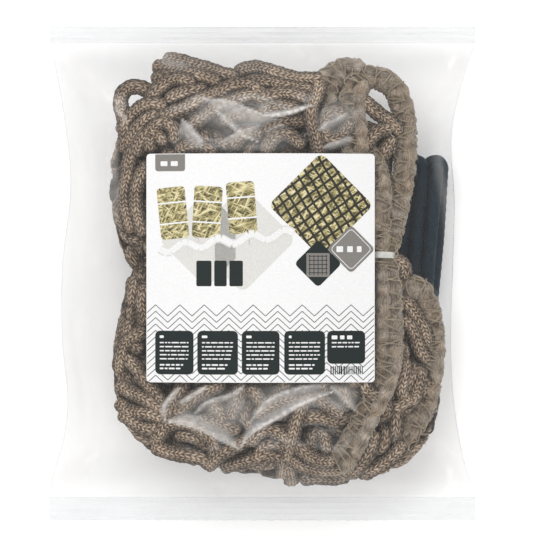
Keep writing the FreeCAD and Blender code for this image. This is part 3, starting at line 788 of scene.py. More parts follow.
def net_room(x, y):
    """Lowest and highest place for the middle of a cord at (x, y), and how near (x, y) is to the outline."""
    rim = np.hypot(x - NET_CENTRE[0], y) / outline_reach(x - NET_CENTRE[0], y)
    top = under_film(x, y, CORD_THICKNESS / 2 + CLEARANCE)
    for hollow_x, hollow_y, reach, depth in HOLLOWS:
        top = top - depth * np.exp(-(((x - hollow_x) ** 2 + (y - hollow_y) ** 2) / reach**2) ** 2)
    bottom = bag_bottom(x, y) + CORD_THICKNESS / 2 + CLEARANCE
    middle = CREASE_Z + 0.25 * (top - CREASE_Z)
    open_share = np.sqrt(np.clip(1 - np.clip(rim, 0, 1) ** 8, 0.04, 1))
    return middle + (bottom - middle) * open_share, middle + (top - middle) * open_share, rim


def confine(points):
    """Keeps every particle inside the folded net's outline and between the two sides of the bag."""
    x, y = points[:, 0], points[:, 1]
    reach = outline_reach(x - NET_CENTRE[0], y) - CORD_WIDTH / 2
    out = np.hypot(x - NET_CENTRE[0], y)
    scale = np.minimum(1, reach / np.maximum(out, 1e-6))
    points[:, 0] = NET_CENTRE[0] + (x - NET_CENTRE[0]) * scale
    points[:, 1] = y * scale
    low, high, _ = net_room(points[:, 0], points[:, 1])
    points[:, 2] = np.clip(points[:, 2], low, high)


def staircase_cords():
    """Each cord's grid steps: knotless netting is zigzag cords that meet their neighbours at every corner."""
    cords = []
    for offset in range(-MESHES, MESHES):
        go_right = offset >= 0
        column, row = (offset, 0) if go_right else (0, -offset - 1)
        nodes = []
        while column <= MESHES and row <= MESHES:
            nodes.append((column, row))
            column, row = (column + 1, row) if go_right else (column, row + 1)
            go_right = not go_right
        if len(nodes) > 1:
            cords.append(nodes)
    return cords


def lay_flat():
    """Particles of one flat panel, each cord's particles, and which particles lie at each mesh corner."""
    flat, chains, corners = [], [], {}
    for nodes in staircase_cords():
        start = len(flat)
        for number, node in enumerate(nodes):
            corner_at = np.array(node) * MESH_SIDE
            corners.setdefault(node, []).append(len(flat))
            flat.append(corner_at)
            if number + 1 < len(nodes):
                ahead = np.array(nodes[number + 1]) * MESH_SIDE
                for step in range(1, LEG_STEPS):
                    flat.append(corner_at + (ahead - corner_at) * step / LEG_STEPS)
        chains.append(np.arange(start, len(flat)))
    return np.array(flat, float), chains, corners


def lay_panel(random, level):
    """Particles of one panel, folded in both directions, and the pairs knitted together."""
    flat, chains, corners = lay_flat()
    across = MESHES * MESH_SIDE / FOLDS
    turned = flat + random.normal(0, 1.5, flat.shape)
    fold = np.floor(turned / across)
    inside = turned - fold * across
    zigzag_at = np.where(fold % 2 == 0, inside, across - inside) / across - 0.5
    layer = fold[:, 0] + 3 * fold[:, 1]
    x = NET_CENTRE[0] + zigzag_at[:, 0] * FOLDED_WIDTH
    y = zigzag_at[:, 1] * FOLDED_HEIGHT
    layers = 9
    low, high, _ = net_room(x, y)
    place = (level + (layer + 0.5) / layers) / 2
    z = low + (high - low) * place
    points = np.stack([x, y, z], axis=1)
    # Loose waves, different in every layer.
    for a, b, c, d, e in random.uniform(-1, 1, (6, 5)):
        phase = (flat[:, 0] * a + flat[:, 1] * b) / 18 + layer * c * 3
        points[:, 0] += 4 * np.sin(phase + 3 * d)
        points[:, 1] += 4 * np.cos(phase * 0.9 + 5 * e)
        points[:, 2] += 1.5 * np.sin(phase * 1.2 + e)
    pairs = [ids for ids in corners.values() if len(ids) == 2]
    return points, chains, np.array(pairs)


# A cell and half of its neighbours, so that each pair of cells is looked at once.
HALF_STENCIL = [(0, 0, 0)] + [
    (i, j, k) for i in (-1, 0, 1) for j in (-1, 0, 1) for k in (-1, 0, 1) if (i, j, k) > (0, 0, 0)]


def near_pairs(points, reach):
    """Index pairs of points nearer to each other than reach, found by sorting them into cells."""
    cell = np.floor((points - points.min(0)) / reach).astype(np.int64) + 1
    span = cell.max(0) + 2
    key = (cell[:, 0] * span[1] + cell[:, 1]) * span[2] + cell[:, 2]
    order = np.argsort(key, kind="stable")
    in_order = key[order]
    firsts, seconds = [], []
    for i, j, k in HALF_STENCIL:
        other = key + (i * span[1] + j) * span[2] + k
        start = np.searchsorted(in_order, other, "left")
        count = np.searchsorted(in_order, other, "right") - start
        a = np.repeat(np.arange(len(points)), count)
        step = np.arange(len(a)) - np.repeat(np.cumsum(count) - count, count)
        b = order[np.repeat(start, count) + step]
        if (i, j, k) == (0, 0, 0):
            a, b = a[a < b], b[a < b]
        firsts.append(a)
        seconds.append(b)
    a, b = np.concatenate(firsts), np.concatenate(seconds)
    close = ((points[a] - points[b]) ** 2).sum(1) < reach**2
    return a[close], b[close]


def pull_together(points, free, a, b, length, push_only, move, count, strength=1.0):
    """Adds to move what brings each pair to its length, or only apart to it where push_only.

    free says how easily each point moves, and count adds up how many pairs move it.
    """
    gap = points[b] - points[a]
    distance = np.sqrt((gap * gap).sum(1)) + 1e-6
    error = distance - length
    if push_only:
        wrong = error < 0
        a, b, gap, distance, error = a[wrong], b[wrong], gap[wrong], distance[wrong], error[wrong]
    share = strength * error / (distance * (free[a] + free[b]))
    total = len(points)
    for axis in range(3):
        step = gap[:, axis] * share
        move[:, axis] += np.bincount(a, step * free[a], total) - np.bincount(b, step * free[b], total)
    count += np.bincount(a, minlength=total) + np.bincount(b, minlength=total)


# How far apart a cord's next particle but one is kept, in links, and how firmly: this is its stiffness.
STRAIGHT = 1.62
STIFFNESS = 0.6


def settle(points, chains, knitted, solid, solid_radius, rounds):
    """Lets the folded net take up its room: cords keep their length, stay stiff and push each other apart."""
    moving = len(points)
    everything = np.concatenate([points, solid])
    radius = np.concatenate([np.full(moving, TOUCH), solid_radius])
    free = np.concatenate([np.ones(moving), np.full(len(solid), 1e-4)])
    chain_of = np.full(len(everything), -1)
    for number, chain in enumerate(chains):
        chain_of[chain] = number
    link_a = np.concatenate([chain[:-1] for chain in chains])
    link_b = np.concatenate([chain[1:] for chain in chains])
    bend_a = np.concatenate([chain[:-2] for chain in chains if len(chain) > 2])
    bend_b = np.concatenate([chain[2:] for chain in chains if len(chain) > 2])
    net = everything[:moving]
    for number in range(rounds):
        # The cords start thin, and have grown to their full thickness after about 60 % of the rounds.
        grown = min(1.0, 0.25 + 0.85 * number / (0.7 * rounds))
        if number % LOOK_EVERY == 0:
            a, b = near_pairs(everything, 2 * TOUCH * grown + LOOK_MARGIN)
            apart = ~((chain_of[a] == chain_of[b]) & (np.abs(a - b) <= 2) & (chain_of[a] >= 0))
            apart &= (a < moving) | (b < moving)
            a, b = a[apart], b[apart]
            deep = net_room(net[:, 0], net[:, 1])[1] - net[:, 2]
            pressed = smooth_step(SEEN_DEPTH * 0.6, SEEN_DEPTH * 1.3, deep)
            radius[:moving] = TOUCH + (TOUCH_DEEP - TOUCH) * pressed
            reach = (radius[a] + radius[b]) * grown
        for _ in range(3):
            # Every pair asks for a move, and each particle makes rather more than the mean of its moves.
            move = np.zeros_like(everything)
            count = np.zeros(len(everything))
            pull_together(everything, free, link_a, link_b, LINK, False, move, count)
            pull_together(everything, free, bend_a, bend_b, LINK * STRAIGHT, True, move, count, STIFFNESS)
            pull_together(everything, free, knitted[:, 0], knitted[:, 1], JUNCTION, False, move, count)
            pull_together(everything, free, a, b, reach, True, move, count)
            net += 1.5 * move[:moving] / np.maximum(count[:moving], 1)[:, None]
            confine(net)
    return net


def spline_between(points, per_step):
    """A smooth cubic B-spline through a chain of particles, with per_step points for each link."""
    ends = np.concatenate([[2 * points[0] - points[1]], points, [2 * points[-1] - points[-2]]])
    total = (len(points) - 1) * per_step + 1
    at = np.arange(total) / per_step
    k = np.minimum(at.astype(int), len(points) - 2)
    f = (at - k)[:, None]
    return ((1 - f) ** 3 * ends[k] + (3 * f**3 - 6 * f**2 + 4) * ends[k + 1]
            + (-3 * f**3 + 3 * f**2 + 3 * f + 1) * ends[k + 2] + f**3 * ends[k + 3]) / 6


def knit_relief(along, angle):
    """Height of the knitted surface: columns of V stitches, and a cord that is never quite even."""
    column = angle * COLUMNS / (2 * math.pi)
    across = 2 * np.abs(column - np.floor(column) - 0.5)
    phase = along / STITCH + STITCH_SLANT * across
    stitches = 0.25 * np.cos(2 * math.pi * phase) * (1 - across**4) - 0.55 * across**3
    uneven = 0.22 * np.sin(along * 0.31 + angle) + 0.18 * np.sin(along * 0.83 - 2 * angle)
    return 0.25 + stitches + uneven


def out_of_net(points):
    """The direction out of the folded bundle at each point."""
    low, high, _ = net_room(points[:, 0], points[:, 1])
    middle = (low + high) / 2
    half_x, half_y, half_z = BUNDLE_HALF
    # Steeper than square to an ellipsoid, because the bundle is flat on top.
    return unit(np.stack([(points[:, 0] - NET_CENTRE[0]) / half_x**2, points[:, 1] / half_y**2,
                          1.6 * (points[:, 2] - middle) / half_z**2 + 2e-4], axis=1))


class CordPieces:
    """Sweeps netting cords, and starts a new piece whenever one grows large."""

    MOST_POINTS = 80_000

    def __init__(self, stem, material, around):
        self.stem, self.material, self.around = stem, material, around
        self.made = []
        self.tubes = Tubes(around, STITCH, COLUMNS)

    def add(self, line, guide, relief, width=CORD_WIDTH, thickness=CORD_THICKNESS):
        self.tubes.add(line, *frames_along(line, guide, 12), width / 2, thickness / 2, relief)
        if self.tubes.size > self.MOST_POINTS:
            self.close()

    def close(self):
        if self.tubes.size:
            name = f"{self.stem}_{len(self.made) + 1:02d}"
            piece = self.tubes.piece(name, self.material)
            self.made.append(piece)
            self.tubes = Tubes(self.around, STITCH, COLUMNS)


def draw_cords(points, chains, fine, coarse, random):
    """Sweeps every cord, with all its stitches where it can be seen and plainly where it can't."""
    drawn = []
    _, high, rim = net_room(points[:, 0], points[:, 1])
    # A particle shows where it lies near the front, or on the flank of the bundle.
    seen = (high - points[:, 2] < SEEN_DEPTH) | ((rim > 0.84) & (points[:, 2] > 12))
    for chain in chains:
        if len(chain) < 3:
            continue
        visible = seen[chain]
        visible = visible | np.roll(visible, 1) | np.roll(visible, -1)
        changes = np.flatnonzero(np.diff(visible.astype(int))) + 1
        borders = [0, *changes, len(chain)]
        sway = random.uniform(-0.9, 0.9)
        for first, last in zip(borders[:-1], borders[1:]):
            # Each stretch reaches one particle into its neighbours, so that they overlap.
            begin, end = max(first - 1, 0), min(last + 1, len(chain))
            if end - begin < 3:
                continue
            near = visible[first]
            line = spline_between(points[chain[begin:end]], FINE_STEPS if near else COARSE_STEPS)
            guide = out_of_net(line)
            # Each cord twists a little to and fro.
            lean = sway * np.sin(np.linspace(0, 0.35 * (end - begin), len(line)) + 5 * sway)
            tangent = unit(np.gradient(line, axis=0))
            guide = unit(guide + 0.8 * lean[:, None] * np.cross(tangent, guide))
            if near:
                fine.add(line, guide, knit_relief)
                drawn.append(line)
            else:
                coarse.add(line, guide, plain, CORD_WIDTH - 0.6, CORD_THICKNESS - 0.4)
    return drawn


def add_netting(obstacles, obstacle_radius, laid):
    """Both panels, settled in the bag round the seams and the rope, and drawn cord by cord."""
    random = np.random.default_rng(45)
    back, back_chains, back_pairs = lay_panel(random, 0)
    front, front_chains, front_pairs = lay_panel(random, 1)
    front_chains = [chain + len(back) for chain in front_chains]
    points = np.concatenate([back, front])
    pairs = np.concatenate([back_pairs, front_pairs + len(back)])
    confine(points)
    laid_points = [evenly(line, 5.0) for line in laid]
    solid = np.concatenate([obstacles, *laid_points])
    radius = np.concatenate([obstacle_radius] + [np.full(len(line), TOUCH + 0.6) for line in laid_points])
    rounds = ROUNDS
    points = settle(points, back_chains + front_chains, pairs, solid, radius, rounds)
    knit = knit_material()
    seen_lines = list(laid)
    for stem, node, chains, extra in (("net_back_cords", "net_panel_back", back_chains, []),
                                      ("net_front_cords", "net_panel_front", front_chains, laid)):
        fine = CordPieces(stem, knit, 4 * COLUMNS)
        coarse = CordPieces(stem + "_inner", knit, COLUMNS + 2)
        seen_lines += draw_cords(points, chains, fine, coarse, random)
        for line in extra:
            fine.add(evenly(line, 0.69), UP, knit_relief)
        fine.close()
        coarse.close()
        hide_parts(node)
    return np.concatenate(seen_lines)


def from_front(route):
    """A laid cord's control points, from (x, y, depth below the front of the netting)."""
    places = np.array(route, float)
    high = under_film(places[:, 0], places[:, 1], CORD_THICKNESS / 2 + 1.6)
    return np.stack([places[:, 0], places[:, 1], high - places[:, 2]], axis=1)


# Routes of the cords that lie on top of the bundle, for from_front.
LAID_CORDS = [
    # The loop and the cord ends at the upper left.
    [(-65, 104, 7), (-68, 108, 3), (-74, 110, 0), (-80, 108, 1), (-83, 103, 2), (-83, 96, 3),
     (-80, 89, 2), (-80, 81, 2), (-81, 71, 3)],
    [(-83, 82, 4), (-80, 89, 3), (-75, 94, 2), (-70, 98, 1), (-63, 100, 0), (-56, 97, 1)],
    [(-79, 75, 3), (-75, 82, 1), (-70, 88, 1), (-66, 92, 2), (-58, 94, 4)],
    [(-64, 122, 1), (-60, 121, 1), (-54, 120, 2), (-47, 118, 3)],
    [(-65, 113, 2), (-60, 114, 2), (-54, 116, 3), (-48, 116, 5)],
    [(-65, 100, 2), (-63, 106, 0), (-58, 110, -1), (-52, 114, -1), (-45, 113, 0), (-39, 110, 2)],
    # The long double cord along the top.
    [(-58, 126, 0), (-51, 125, -1), (-43, 123, -1), (-34, 120, -1), (-25, 117, 0), (-14, 114, 2)],
    [(-59, 120, 1), (-51, 119, 0), (-42, 117, 0), (-32, 114, 0), (-24, 111, 2)],
    [(-16, 117, 2), (-6, 121, 1), (3, 119, 1), (13, 115, 1), (23, 113, 1), (35, 113, 2)],
    [(-11, 111, 2), (0, 112, 2), (10, 110, 2), (21, 107, 2), (29, 107, 3)],
    # Upper left field.
    [(-61, 89, 3), (-54, 93, 1), (-46, 96, 0), (-38, 100, 0), (-30, 104, 1), (-22, 107, 2)],
    [(-56, 101, 4), (-47, 105, 1), (-39, 107, 1), (-32, 107, 3)],
    [(-26, 102, 3), (-22, 108, 0), (-14, 110, -1), (-7, 110, 0), (-2, 106, 1), (1, 99, 3)],
    [(-65, 71, 3), (-66, 80, 0), (-62, 87, -1), (-56, 89, 0), (-51, 84, 1), (-51, 76, 3)],
    [(-74, 69, 3), (-72, 77, 0), (-66, 83, -1), (-60, 82, 1), (-57, 75, 3)],
    [(-79, 57, 2), (-78, 66, 1), (-76, 74, 2)],
    [(-68, 62, 2), (-73, 54, 0), (-74, 43, 0), (-73, 33, 1), (-69, 22, 3)],
    [(-77, 63, 1), (-80, 54, 0), (-81, 43, 1), (-79, 33, 2), (-76, 24, 4)],
    [(-42, 87, 2), (-34, 90, 1), (-28, 96, 2)],
    [(-50, 71, 3), (-42, 75, 1), (-33, 74, 1), (-27, 69, 3)],
    [(-34, 92, 2), (-26, 97, 0), (-18, 100, 0), (-9, 104, 0), (-2, 103, 3)],
    [(-24, 88, 3), (-15, 92, 1), (-6, 93, 1), (2, 91, 3)],
    # Upper middle field.
    [(-4, 100, 3), (3, 103, 0), (12, 105, 0), (20, 104, 1), (27, 101, 3)],
    [(-3, 91, 3), (4, 96, 1), (13, 98, 0), (21, 95, 2)],
    [(0, 82, 6), (7, 86, 4), (15, 89, 4), (25, 89, 6)],
    [(33, 69, 3), (32, 78, 0), (28, 88, -1), (28, 96, -1), (32, 104, 0), (33, 111, 2)],
    [(2, 69, 3), (4, 77, 0), (11, 82, -1), (18, 80, 0), (23, 73, 2)],
    [(34, 86, 3), (37, 92, 0), (43, 95, -1), (48, 92, 1)],
    [(33, 86, 3), (36, 79, 0), (42, 78, -1), (48, 82, 0), (51, 88, 2)],
    [(-18, 73, 3), (-13, 80, 1), (-6, 83, 1), (0, 80, 3)],
    # Inside the seam's upper arch.
    [(56, 103, 5), (62, 98, 3), (68, 93, 2), (76, 88, 2), (80, 82, 4)],
    [(58, 71, 4), (62, 78, 1), (68, 84, 0), (75, 85, 1)],
    [(69, 67, 5), (73, 74, 2), (76, 80, 2)],
    [(63, 60, 6), (69, 56, 4), (74, 49, 4), (75, 40, 6)],
    # Right of the label.
    [(75, 9, 4), (80, 7, 2), (84, 3, 2), (82, -3, 5)],
    [(81, -14, 3), (86, -19, 0), (91, -26, -1), (96, -34, 0), (97, -43, 3)],
    [(80, -25, 5), (85, -28, 3), (90, -36, 2), (92, -45, 3), (97, -52, 4)],
    # Lower left corner.
    [(-85, -65, 3), (-78, -69, 1), (-70, -72, 0), (-63, -76, 0), (-57, -81, 2)],
    [(-73, -58, 3), (-68, -63, 1), (-63, -69, 1), (-58, -77, 2)],
    [(-84, -74, 4), (-80, -80, 2), (-73, -81, 0), (-66, -81, 0), (-58, -85, 1), (-52, -88, 3)],
    [(-83, -81, 3), (-77, -85, 1), (-70, -90, 0), (-63, -91, 1), (-57, -88, 3)],
    [(-63, -100, 3), (-60, -93, 0), (-56, -88, -1), (-48, -86, -1), (-40, -88, -1), (-33, -93, 0),
     (-28, -98, 0), (-28, -106, 2)],
    [(-50, -93, 4), (-42, -94, 1), (-34, -97, 2), (-30, -101, 4)],
    [(-64, -100, 2), (-57, -104, 0), (-48, -105, -1), (-40, -106, -1), (-34, -108, 1), (-28, -113, 3)],
    [(-32, -112, 2), (-27, -107, -1), (-21, -103, -1), (-14, -99, 0), (-7, -96, 2)],
    [(-24, -113, 4), (-14, -110, 1), (-6, -108, 0), (1, -105, 1), (6, -100, 3)],
    # Below the label.
    [(-12, -63, 4), (-13, -70, 0), (-16, -77, -1), (-19, -84, 2)],
    [(-22, -63, 4), (-30, -67, 0), (-37, -70, 0), (-44, -76, 1), (-49, -81, 4)],
    [(-44, -63, 4), (-48, -68, 0), (-53, -76, 0), (-56, -83, 2)],
    [(-57, -84, 3), (-51, -80, 1), (-44, -79, 2)],
    [(-8, -65, 3), (-4, -70, 1), (0, -76, 3)],
    [(-4, -83, 3), (3, -77, 1), (12, -74, 1), (20, -72, 3)],
    [(-30, -76, 3), (-24, -79, 1), (-22, -86, 3)],
    [(-39, -88, 4), (-31, -84, 2), (-22, -88, 2), (-13, -92, 3)],
    # The open loop at the lower right.
    [(26, -68, 4), (23, -76, 0), (20, -84, -1), (18, -92, -1), (16, -100, 0), (14, -107, 2),
     (16, -116, 3), (17, -123, 4)],
    [(18, -98, 2), (23, -103, -1), (28, -107, -1), (35, -110, 0), (42, -109, 2)],
    [(14, -105, 2), (20, -111, -1), (28, -114, -1), (38, -116, 0), (47, -115, 2)],
    [(23, -74, 3), (28, -71, 0), (35, -74, -1), (40, -79, 0), (46, -82, 2)],
    [(23, -84, 4), (29, -83, 1), (36, -84, 1), (43, -87, 3)],
    [(-8, -99, 3), (-3, -92, 0), (4, -90, -1), (11, -93, 0), (16, -98, 1)],
    [(-3, -104, 4), (3, -98, 1), (10, -99, 1), (16, -103, 2)],
    [(-4, -113, 4), (1, -107, 1), (7, -105, 0), (13, -110, 2), (12, -118, 4)],
    [(29, -105, 9), (26, -97, 9), (32, -90, 8), (37, -96, 8), (37, -105, 9)],
    [(22, -120, 3), (32, -119, 1), (42, -120, 1), (51, -118, 3)],
    [(51, -118, 3), (58, -111, 1), (63, -103, 1), (66, -92, 3)],
    [(58, -118, 3), (68, -113, 2), (77, -107, 3), (83, -99, 5)],
    # Left of the label.
    [(-68, -7, 3), (-71, -14, 0), (-70, -22, 1), (-68, -30, 3)],
    [(-74, -2, 3), (-77, -11, 1), (-76, -19, 2)],
    [(-68, -33, 4), (-74, -36, 0), (-80, -40, 0), (-83, -48, 1), (-84, -58, 2)],
    [(-77, -28, 3), (-80, -34, 1), (-76, -42, 1), (-70, -45, 3)],
    [(-79, -48, 3), (-76, -54, 0), (-70, -58, 2)],
]


# ---------------------------------------------------------------- the bag

COVER_START = (-130, -150)  # first corner of the grid that holds the netting's height
COVER_COUNT = (261, 301)    # its number of points, 1 mm apart
# Creases of the film, as (x, y, x, y, width, height, painted sheen) from end to end.
CREASES = [
    (-119, 131, -84, 98, 5.0, 2.6, 0.22), (119, 131, 97, 92, 5.0, 2.6, 0.22),
    (-122, -126, -88, -92, 5.0, 2.6, 0.22), (122, -126, 100, -96, 5.0, 2.6, 0.22),
    (-107, 88, -100, -10, 5.0, 2.2, 0.20), (-104, -20, -100, -84, 4.0, 2.0, 0.20),
    (104, 84, 108, 20, 3.0, 1.8, 0.20), (-60, 130, -46, 118, 3.0, 1.8, 0.15),
    (20, 131, 34, 121, 3.0, 1.8, 0.15), (-30, -128, -20, -120, 3.0, 1.8, 0.15),
    (-84, 98, -82, 88, 0.6, 0.6, 0.8)]
# Painted sheen where the film rests on the netting: (x, y, reach across, reach along, painted sheen).
BRIGHT_SPOTS = [
    (-18, 90, 20, 13, 0.24), (-6, 77, 20, 9, 0.22), (44, 90, 12, 9, 0.18), (-22, -79, 24, 11, 0.25),
    (20, -71, 26, 8, 0.28), (46, -71, 9, 8, 0.40), (-88, 54, 4, 42, 0.40)]
# Folds of the film, each with a painted glint: (route, painted glint, how far it fades to the left of the
# route). The other side of a route is a sharp edge.
GLINTS = [
    ([(7, 90), (-6, 93.5), (-18, 100), (-34, 102)], 0.56, 19),
    ([(-5, 91), (8, 91.5), (18, 94), (31, 98.5)], 0.80, 2.8),
    ([(-29, 96), (-21, 89), (-12, 80), (-3, 76.5)], 0.70, 5),
    ([(-33, 73), (-38, 81), (-47, 90)], 0.58, 10),
    ([(-1, 86), (-13, 82), (-25, 76)], 0.46, 8),
    ([(51, 94), (40, 88), (31, 83)], 0.48, 6),
    ([(54, 80), (44, 76), (34, 73)], 0.44, 4),
    ([(-57, -86), (-43, -87), (-31, -92), (-21, -98), (-13, -102)], 0.66, 11),
    ([(-13, -102), (-8, -93), (2, -87), (13, -81), (25, -74), (43, -68)], 0.68, 8),
    ([(44, -62), (28, -65), (12, -69), (2, -74), (-4, -82), (-10, -89)], 0.54, 7),
    ([(-47, -65), (-54, -72), (-59, -79), (-56, -87)], 0.54, 3.6),
    ([(-31, -64), (-41, -72), (-51, -76)], 0.52, 3.2),
    ([(-9, -62), (-14, -69), (-22, -72), (-35, -75), (-41, -84)], 0.52, 4),
    ([(36, -63), (46, -70), (55, -81)], 0.42, 7)]
GLINT_EDGE = 1.1           # half the width of a sharp edge
GLINT_RISE = 0.7           # how far a fold stands out of the film


def crease_shape(x, y):
    """Height of the film's creases at each point, and the painted sheen along them."""
    height, haze_and_painted_sheen = np.zeros_like(x), np.zeros_like(x)
    for x0, y0, x1, y1, width, rise, milk in CREASES:
        run = np.array([x1 - x0, y1 - y0])
        length = np.hypot(*run)
        along = ((x - x0) * run[0] + (y - y0) * run[1]) / length**2
        across = ((x - x0) * run[1] - (y - y0) * run[0]) / length
        ridge = np.exp(-((across + 2 * np.sin(along * 5 + x0)) / width) ** 2)
        ridge = ridge * smooth_step(-0.15, 0.2, along) * smooth_step(1.15, 0.8, along)
        height += rise * ridge
        haze_and_painted_sheen = np.maximum(haze_and_painted_sheen, milk * ridge)
    return height, haze_and_painted_sheen


def glint_shape(x, y):
    """Height of the film's folds at each point, and the painted glint along them."""
    height, haze_and_painted_sheen = np.zeros_like(x), np.zeros_like(x)
    for places, milk, fade in GLINTS:
        line = spline_path([(*place, 0.0) for place in places])[:, :2]
        low, high = line.min(0) - fade, line.max(0) + fade
        near = (x > low[0]) & (x < high[0]) & (y > low[1]) & (y < high[1])
        if not near.any():
            continue
        off_x, off_y = x[near][:, None] - line[:, 0], y[near][:, None] - line[:, 1]
        away = np.hypot(off_x, off_y)
        closest = away.argmin(axis=1)
        pick = np.arange(len(closest))
        heading = np.gradient(line, axis=0)[closest]
        left = heading[:, 0] * off_y[pick, closest] > heading[:, 1] * off_x[pick, closest]
        share = closest / (len(line) - 1)
        narrowing = np.clip(np.minimum(share, 1 - share) / 0.25, 0.12, 1)
        away = away[pick, closest] / narrowing
        edge = smooth_step(1.6 * GLINT_EDGE, 0.4 * GLINT_EDGE, away)
        soft = np.where(left, np.clip(1 - away / fade, 0, 1) ** 1.3, 0)
        height[near] = np.maximum(height[near], GLINT_RISE * edge)
        haze_and_painted_sheen[near] = np.maximum(haze_and_painted_sheen[near], milk * np.maximum(edge, 0.85 * soft))
    return height, haze_and_painted_sheen


def netting_cover(lines):
    """Height of the netting's front over a 1 mm grid, from (points, half width, half thickness)."""
    grid = np.full(COVER_COUNT, -100.0)
    for points, half_width, half_thickness in lines:
        column = np.round(points[:, 0] - COVER_START[0]).astype(int)
        row = np.round(points[:, 1] - COVER_START[1]).astype(int)
        reach = int(half_width)
        for i in range(-reach, reach + 1):
            for j in range(-reach, reach + 1):
                away = (i * i + j * j) / half_width**2
                if away < 1:
                    rise = half_thickness * math.sqrt(1 - away)
                    np.maximum.at(grid, (column + i, row + j), points[:, 2] + rise)
    return grid


def cover_at(grid, x, y):
    """The netting's height at each place, between the grid's points."""
    i = np.clip(x - COVER_START[0], 0, COVER_COUNT[0] - 1.001)
    j = np.clip(y - COVER_START[1], 0, COVER_COUNT[1] - 1.001)
    column, row = i.astype(int), j.astype(int)
    f, g = i - column, j - row
    return ((1 - f) * (1 - g) * grid[column, row] + f * (1 - g) * grid[column + 1, row]
            + (1 - f) * g * grid[column, row + 1] + f * g * grid[column + 1, row + 1])


def gathers(x, to_seal):
    """Height of the small folds that a seal gathers the film into."""
    folds = (np.sin(x * 0.33 + 1.3 * np.sin(x * 0.071)) + 0.6 * np.sin(x * 0.61 + 1.0)) * 0.9
    return folds * np.exp(-(to_seal / 15) ** 2) * smooth_step(0, 6, to_seal)


def lumps(x, y, to_seal):
    """Height of the film's broad unevenness."""
    waves = (np.sin(x * 0.17 + 1.2 * np.sin(y * 0.11)) * np.sin(y * 0.15 + np.sin(x * 0.09))
             + 0.4 * np.sin(x * 0.31 + y * 0.19) * np.sin(y * 0.27 - x * 0.13))
    return 0.6 * waves * smooth_step(4, 30, to_seal)


def bright_spots(x, y):
    """How much painted sheen the film has where it rests on the netting, in a lacy pattern."""
    haze_and_painted_sheen = np.zeros_like(x)
    lace = 0.75 + 0.25 * np.sin(x * 0.22 + 2 * np.sin(y * 0.19)) * np.sin(y * 0.37 + x * 0.12)
    for spot_x, spot_y, reach_x, reach_y, milk in BRIGHT_SPOTS:
        away = ((x - spot_x) / reach_x) ** 2 + ((y - spot_y) / reach_y) ** 2
        haze_and_painted_sheen = np.maximum(haze_and_painted_sheen, milk * np.exp(-away**2) * lace)
    return haze_and_painted_sheen


def film_relief(x, y, cover=None):
    """How far the film stands out of the smooth front, and how much painted sheen it has."""
    to_seal = np.minimum(FILM_HIGH[1] - y, y - FILM_LOW[1])
    height, haze_and_painted_sheen = crease_shape(x, y)
    glint_height, painted_glints = glint_shape(x, y)
    height += glint_height
    height += gathers(x, to_seal)
    height += lumps(x, y, to_seal)
    haze_and_painted_sheen = np.maximum(haze_and_painted_sheen, bright_spots(x, y))
    if cover is not None:
        # The film sinks in between the cords, but never into one.
        over = bag_top(x, y) - cover_at(cover, x, y)
        resting = 1 - smooth_step(2.5, 7.0, over)
        sunk = 0.8 * (1 - resting) * smooth_step(20, 40, to_seal)
        height = np.maximum(height - sunk, 0.6 - over)
        # The painted sheen is stronger where the film rests on the netting.
        haze_and_painted_sheen *= 0.55 + 0.45 * resting
    haze_and_painted_sheen = np.maximum(haze_and_painted_sheen, painted_glints)
    # Under and round the label, and along the side creases, the film is smooth.
    label_x, label_y = (LABEL_LOW + LABEL_HIGH)[:2] / 2
    half_x, half_y = (LABEL_HIGH - LABEL_LOW)[:2] / 2
    outside = np.maximum(np.abs(x - label_x) - half_x, np.abs(y - label_y) - half_y)
    to_crease = WAIST - np.abs(nominal_x(x, y))
    height = height * smooth_step(0.5, 9, outside) * smooth_step(0, 12, to_crease)
    return height, haze_and_painted_sheen * smooth_step(0.0, 3.0, outside)


FILM_COLUMNS = 200         # faces across one side of the film
FILM_STEP = 1.15           # length of a face along the film
FOLD_STEP = 0.5            # and in the strip beside a seal
FOLD_ROOM = 3.6            # how far from a seal's root the strip beside it starts


def add_film_part(name, y_low, y_high, material, cover, step=FILM_STEP):
    """The film tube between two heights: front and back in one closed ring."""
    rows = max(4, int((y_high - y_low) / step))
    y = np.linspace(y_low, y_high, rows + 1)[:, None]
    around = np.linspace(0, 2, 2 * FILM_COLUMNS, endpoint=False)[None, :]
    front = around < 1
    share = np.where(front, around, 2 - around)
    left, right = smooth_through(LEFT_EDGE, y), smooth_through(RIGHT_EDGE, y)
    # The points lie closer together towards the creases.
    even = (1 - np.cos(share * math.pi)) / 2
    x = left + (right - left) * (0.65 * share + 0.35 * even)
    y = np.broadcast_to(y, x.shape)
    relief, haze_and_painted_sheen = film_relief(x, y, cover)
    # The back has the front's creases, turned round.
    back_relief, back_painted_sheen = film_relief(-x * 0.93 + 4, -y * 0.95)
    lifted = smooth_step(0.5, 9.0, bag_bottom(x, y))
    z = np.where(front, bag_top(x, y) + relief, bag_bottom(x, y) - 0.4 * back_relief * lifted)
    z = np.maximum(z, 0.1)
    # The back carries a weaker painted sheen.
    haze_and_painted_sheen = np.where(front, haze_and_painted_sheen, 0.3 * back_painted_sheen)
    points = np.stack([x, y, z], axis=-1).reshape(-1, 3)
    quads = grid_quads(rows, 2 * FILM_COLUMNS, closed=True)
    made = make_mesh(name, points, [quads], material, haze_and_painted_sheen=haze_and_painted_sheen.ravel())
    return made


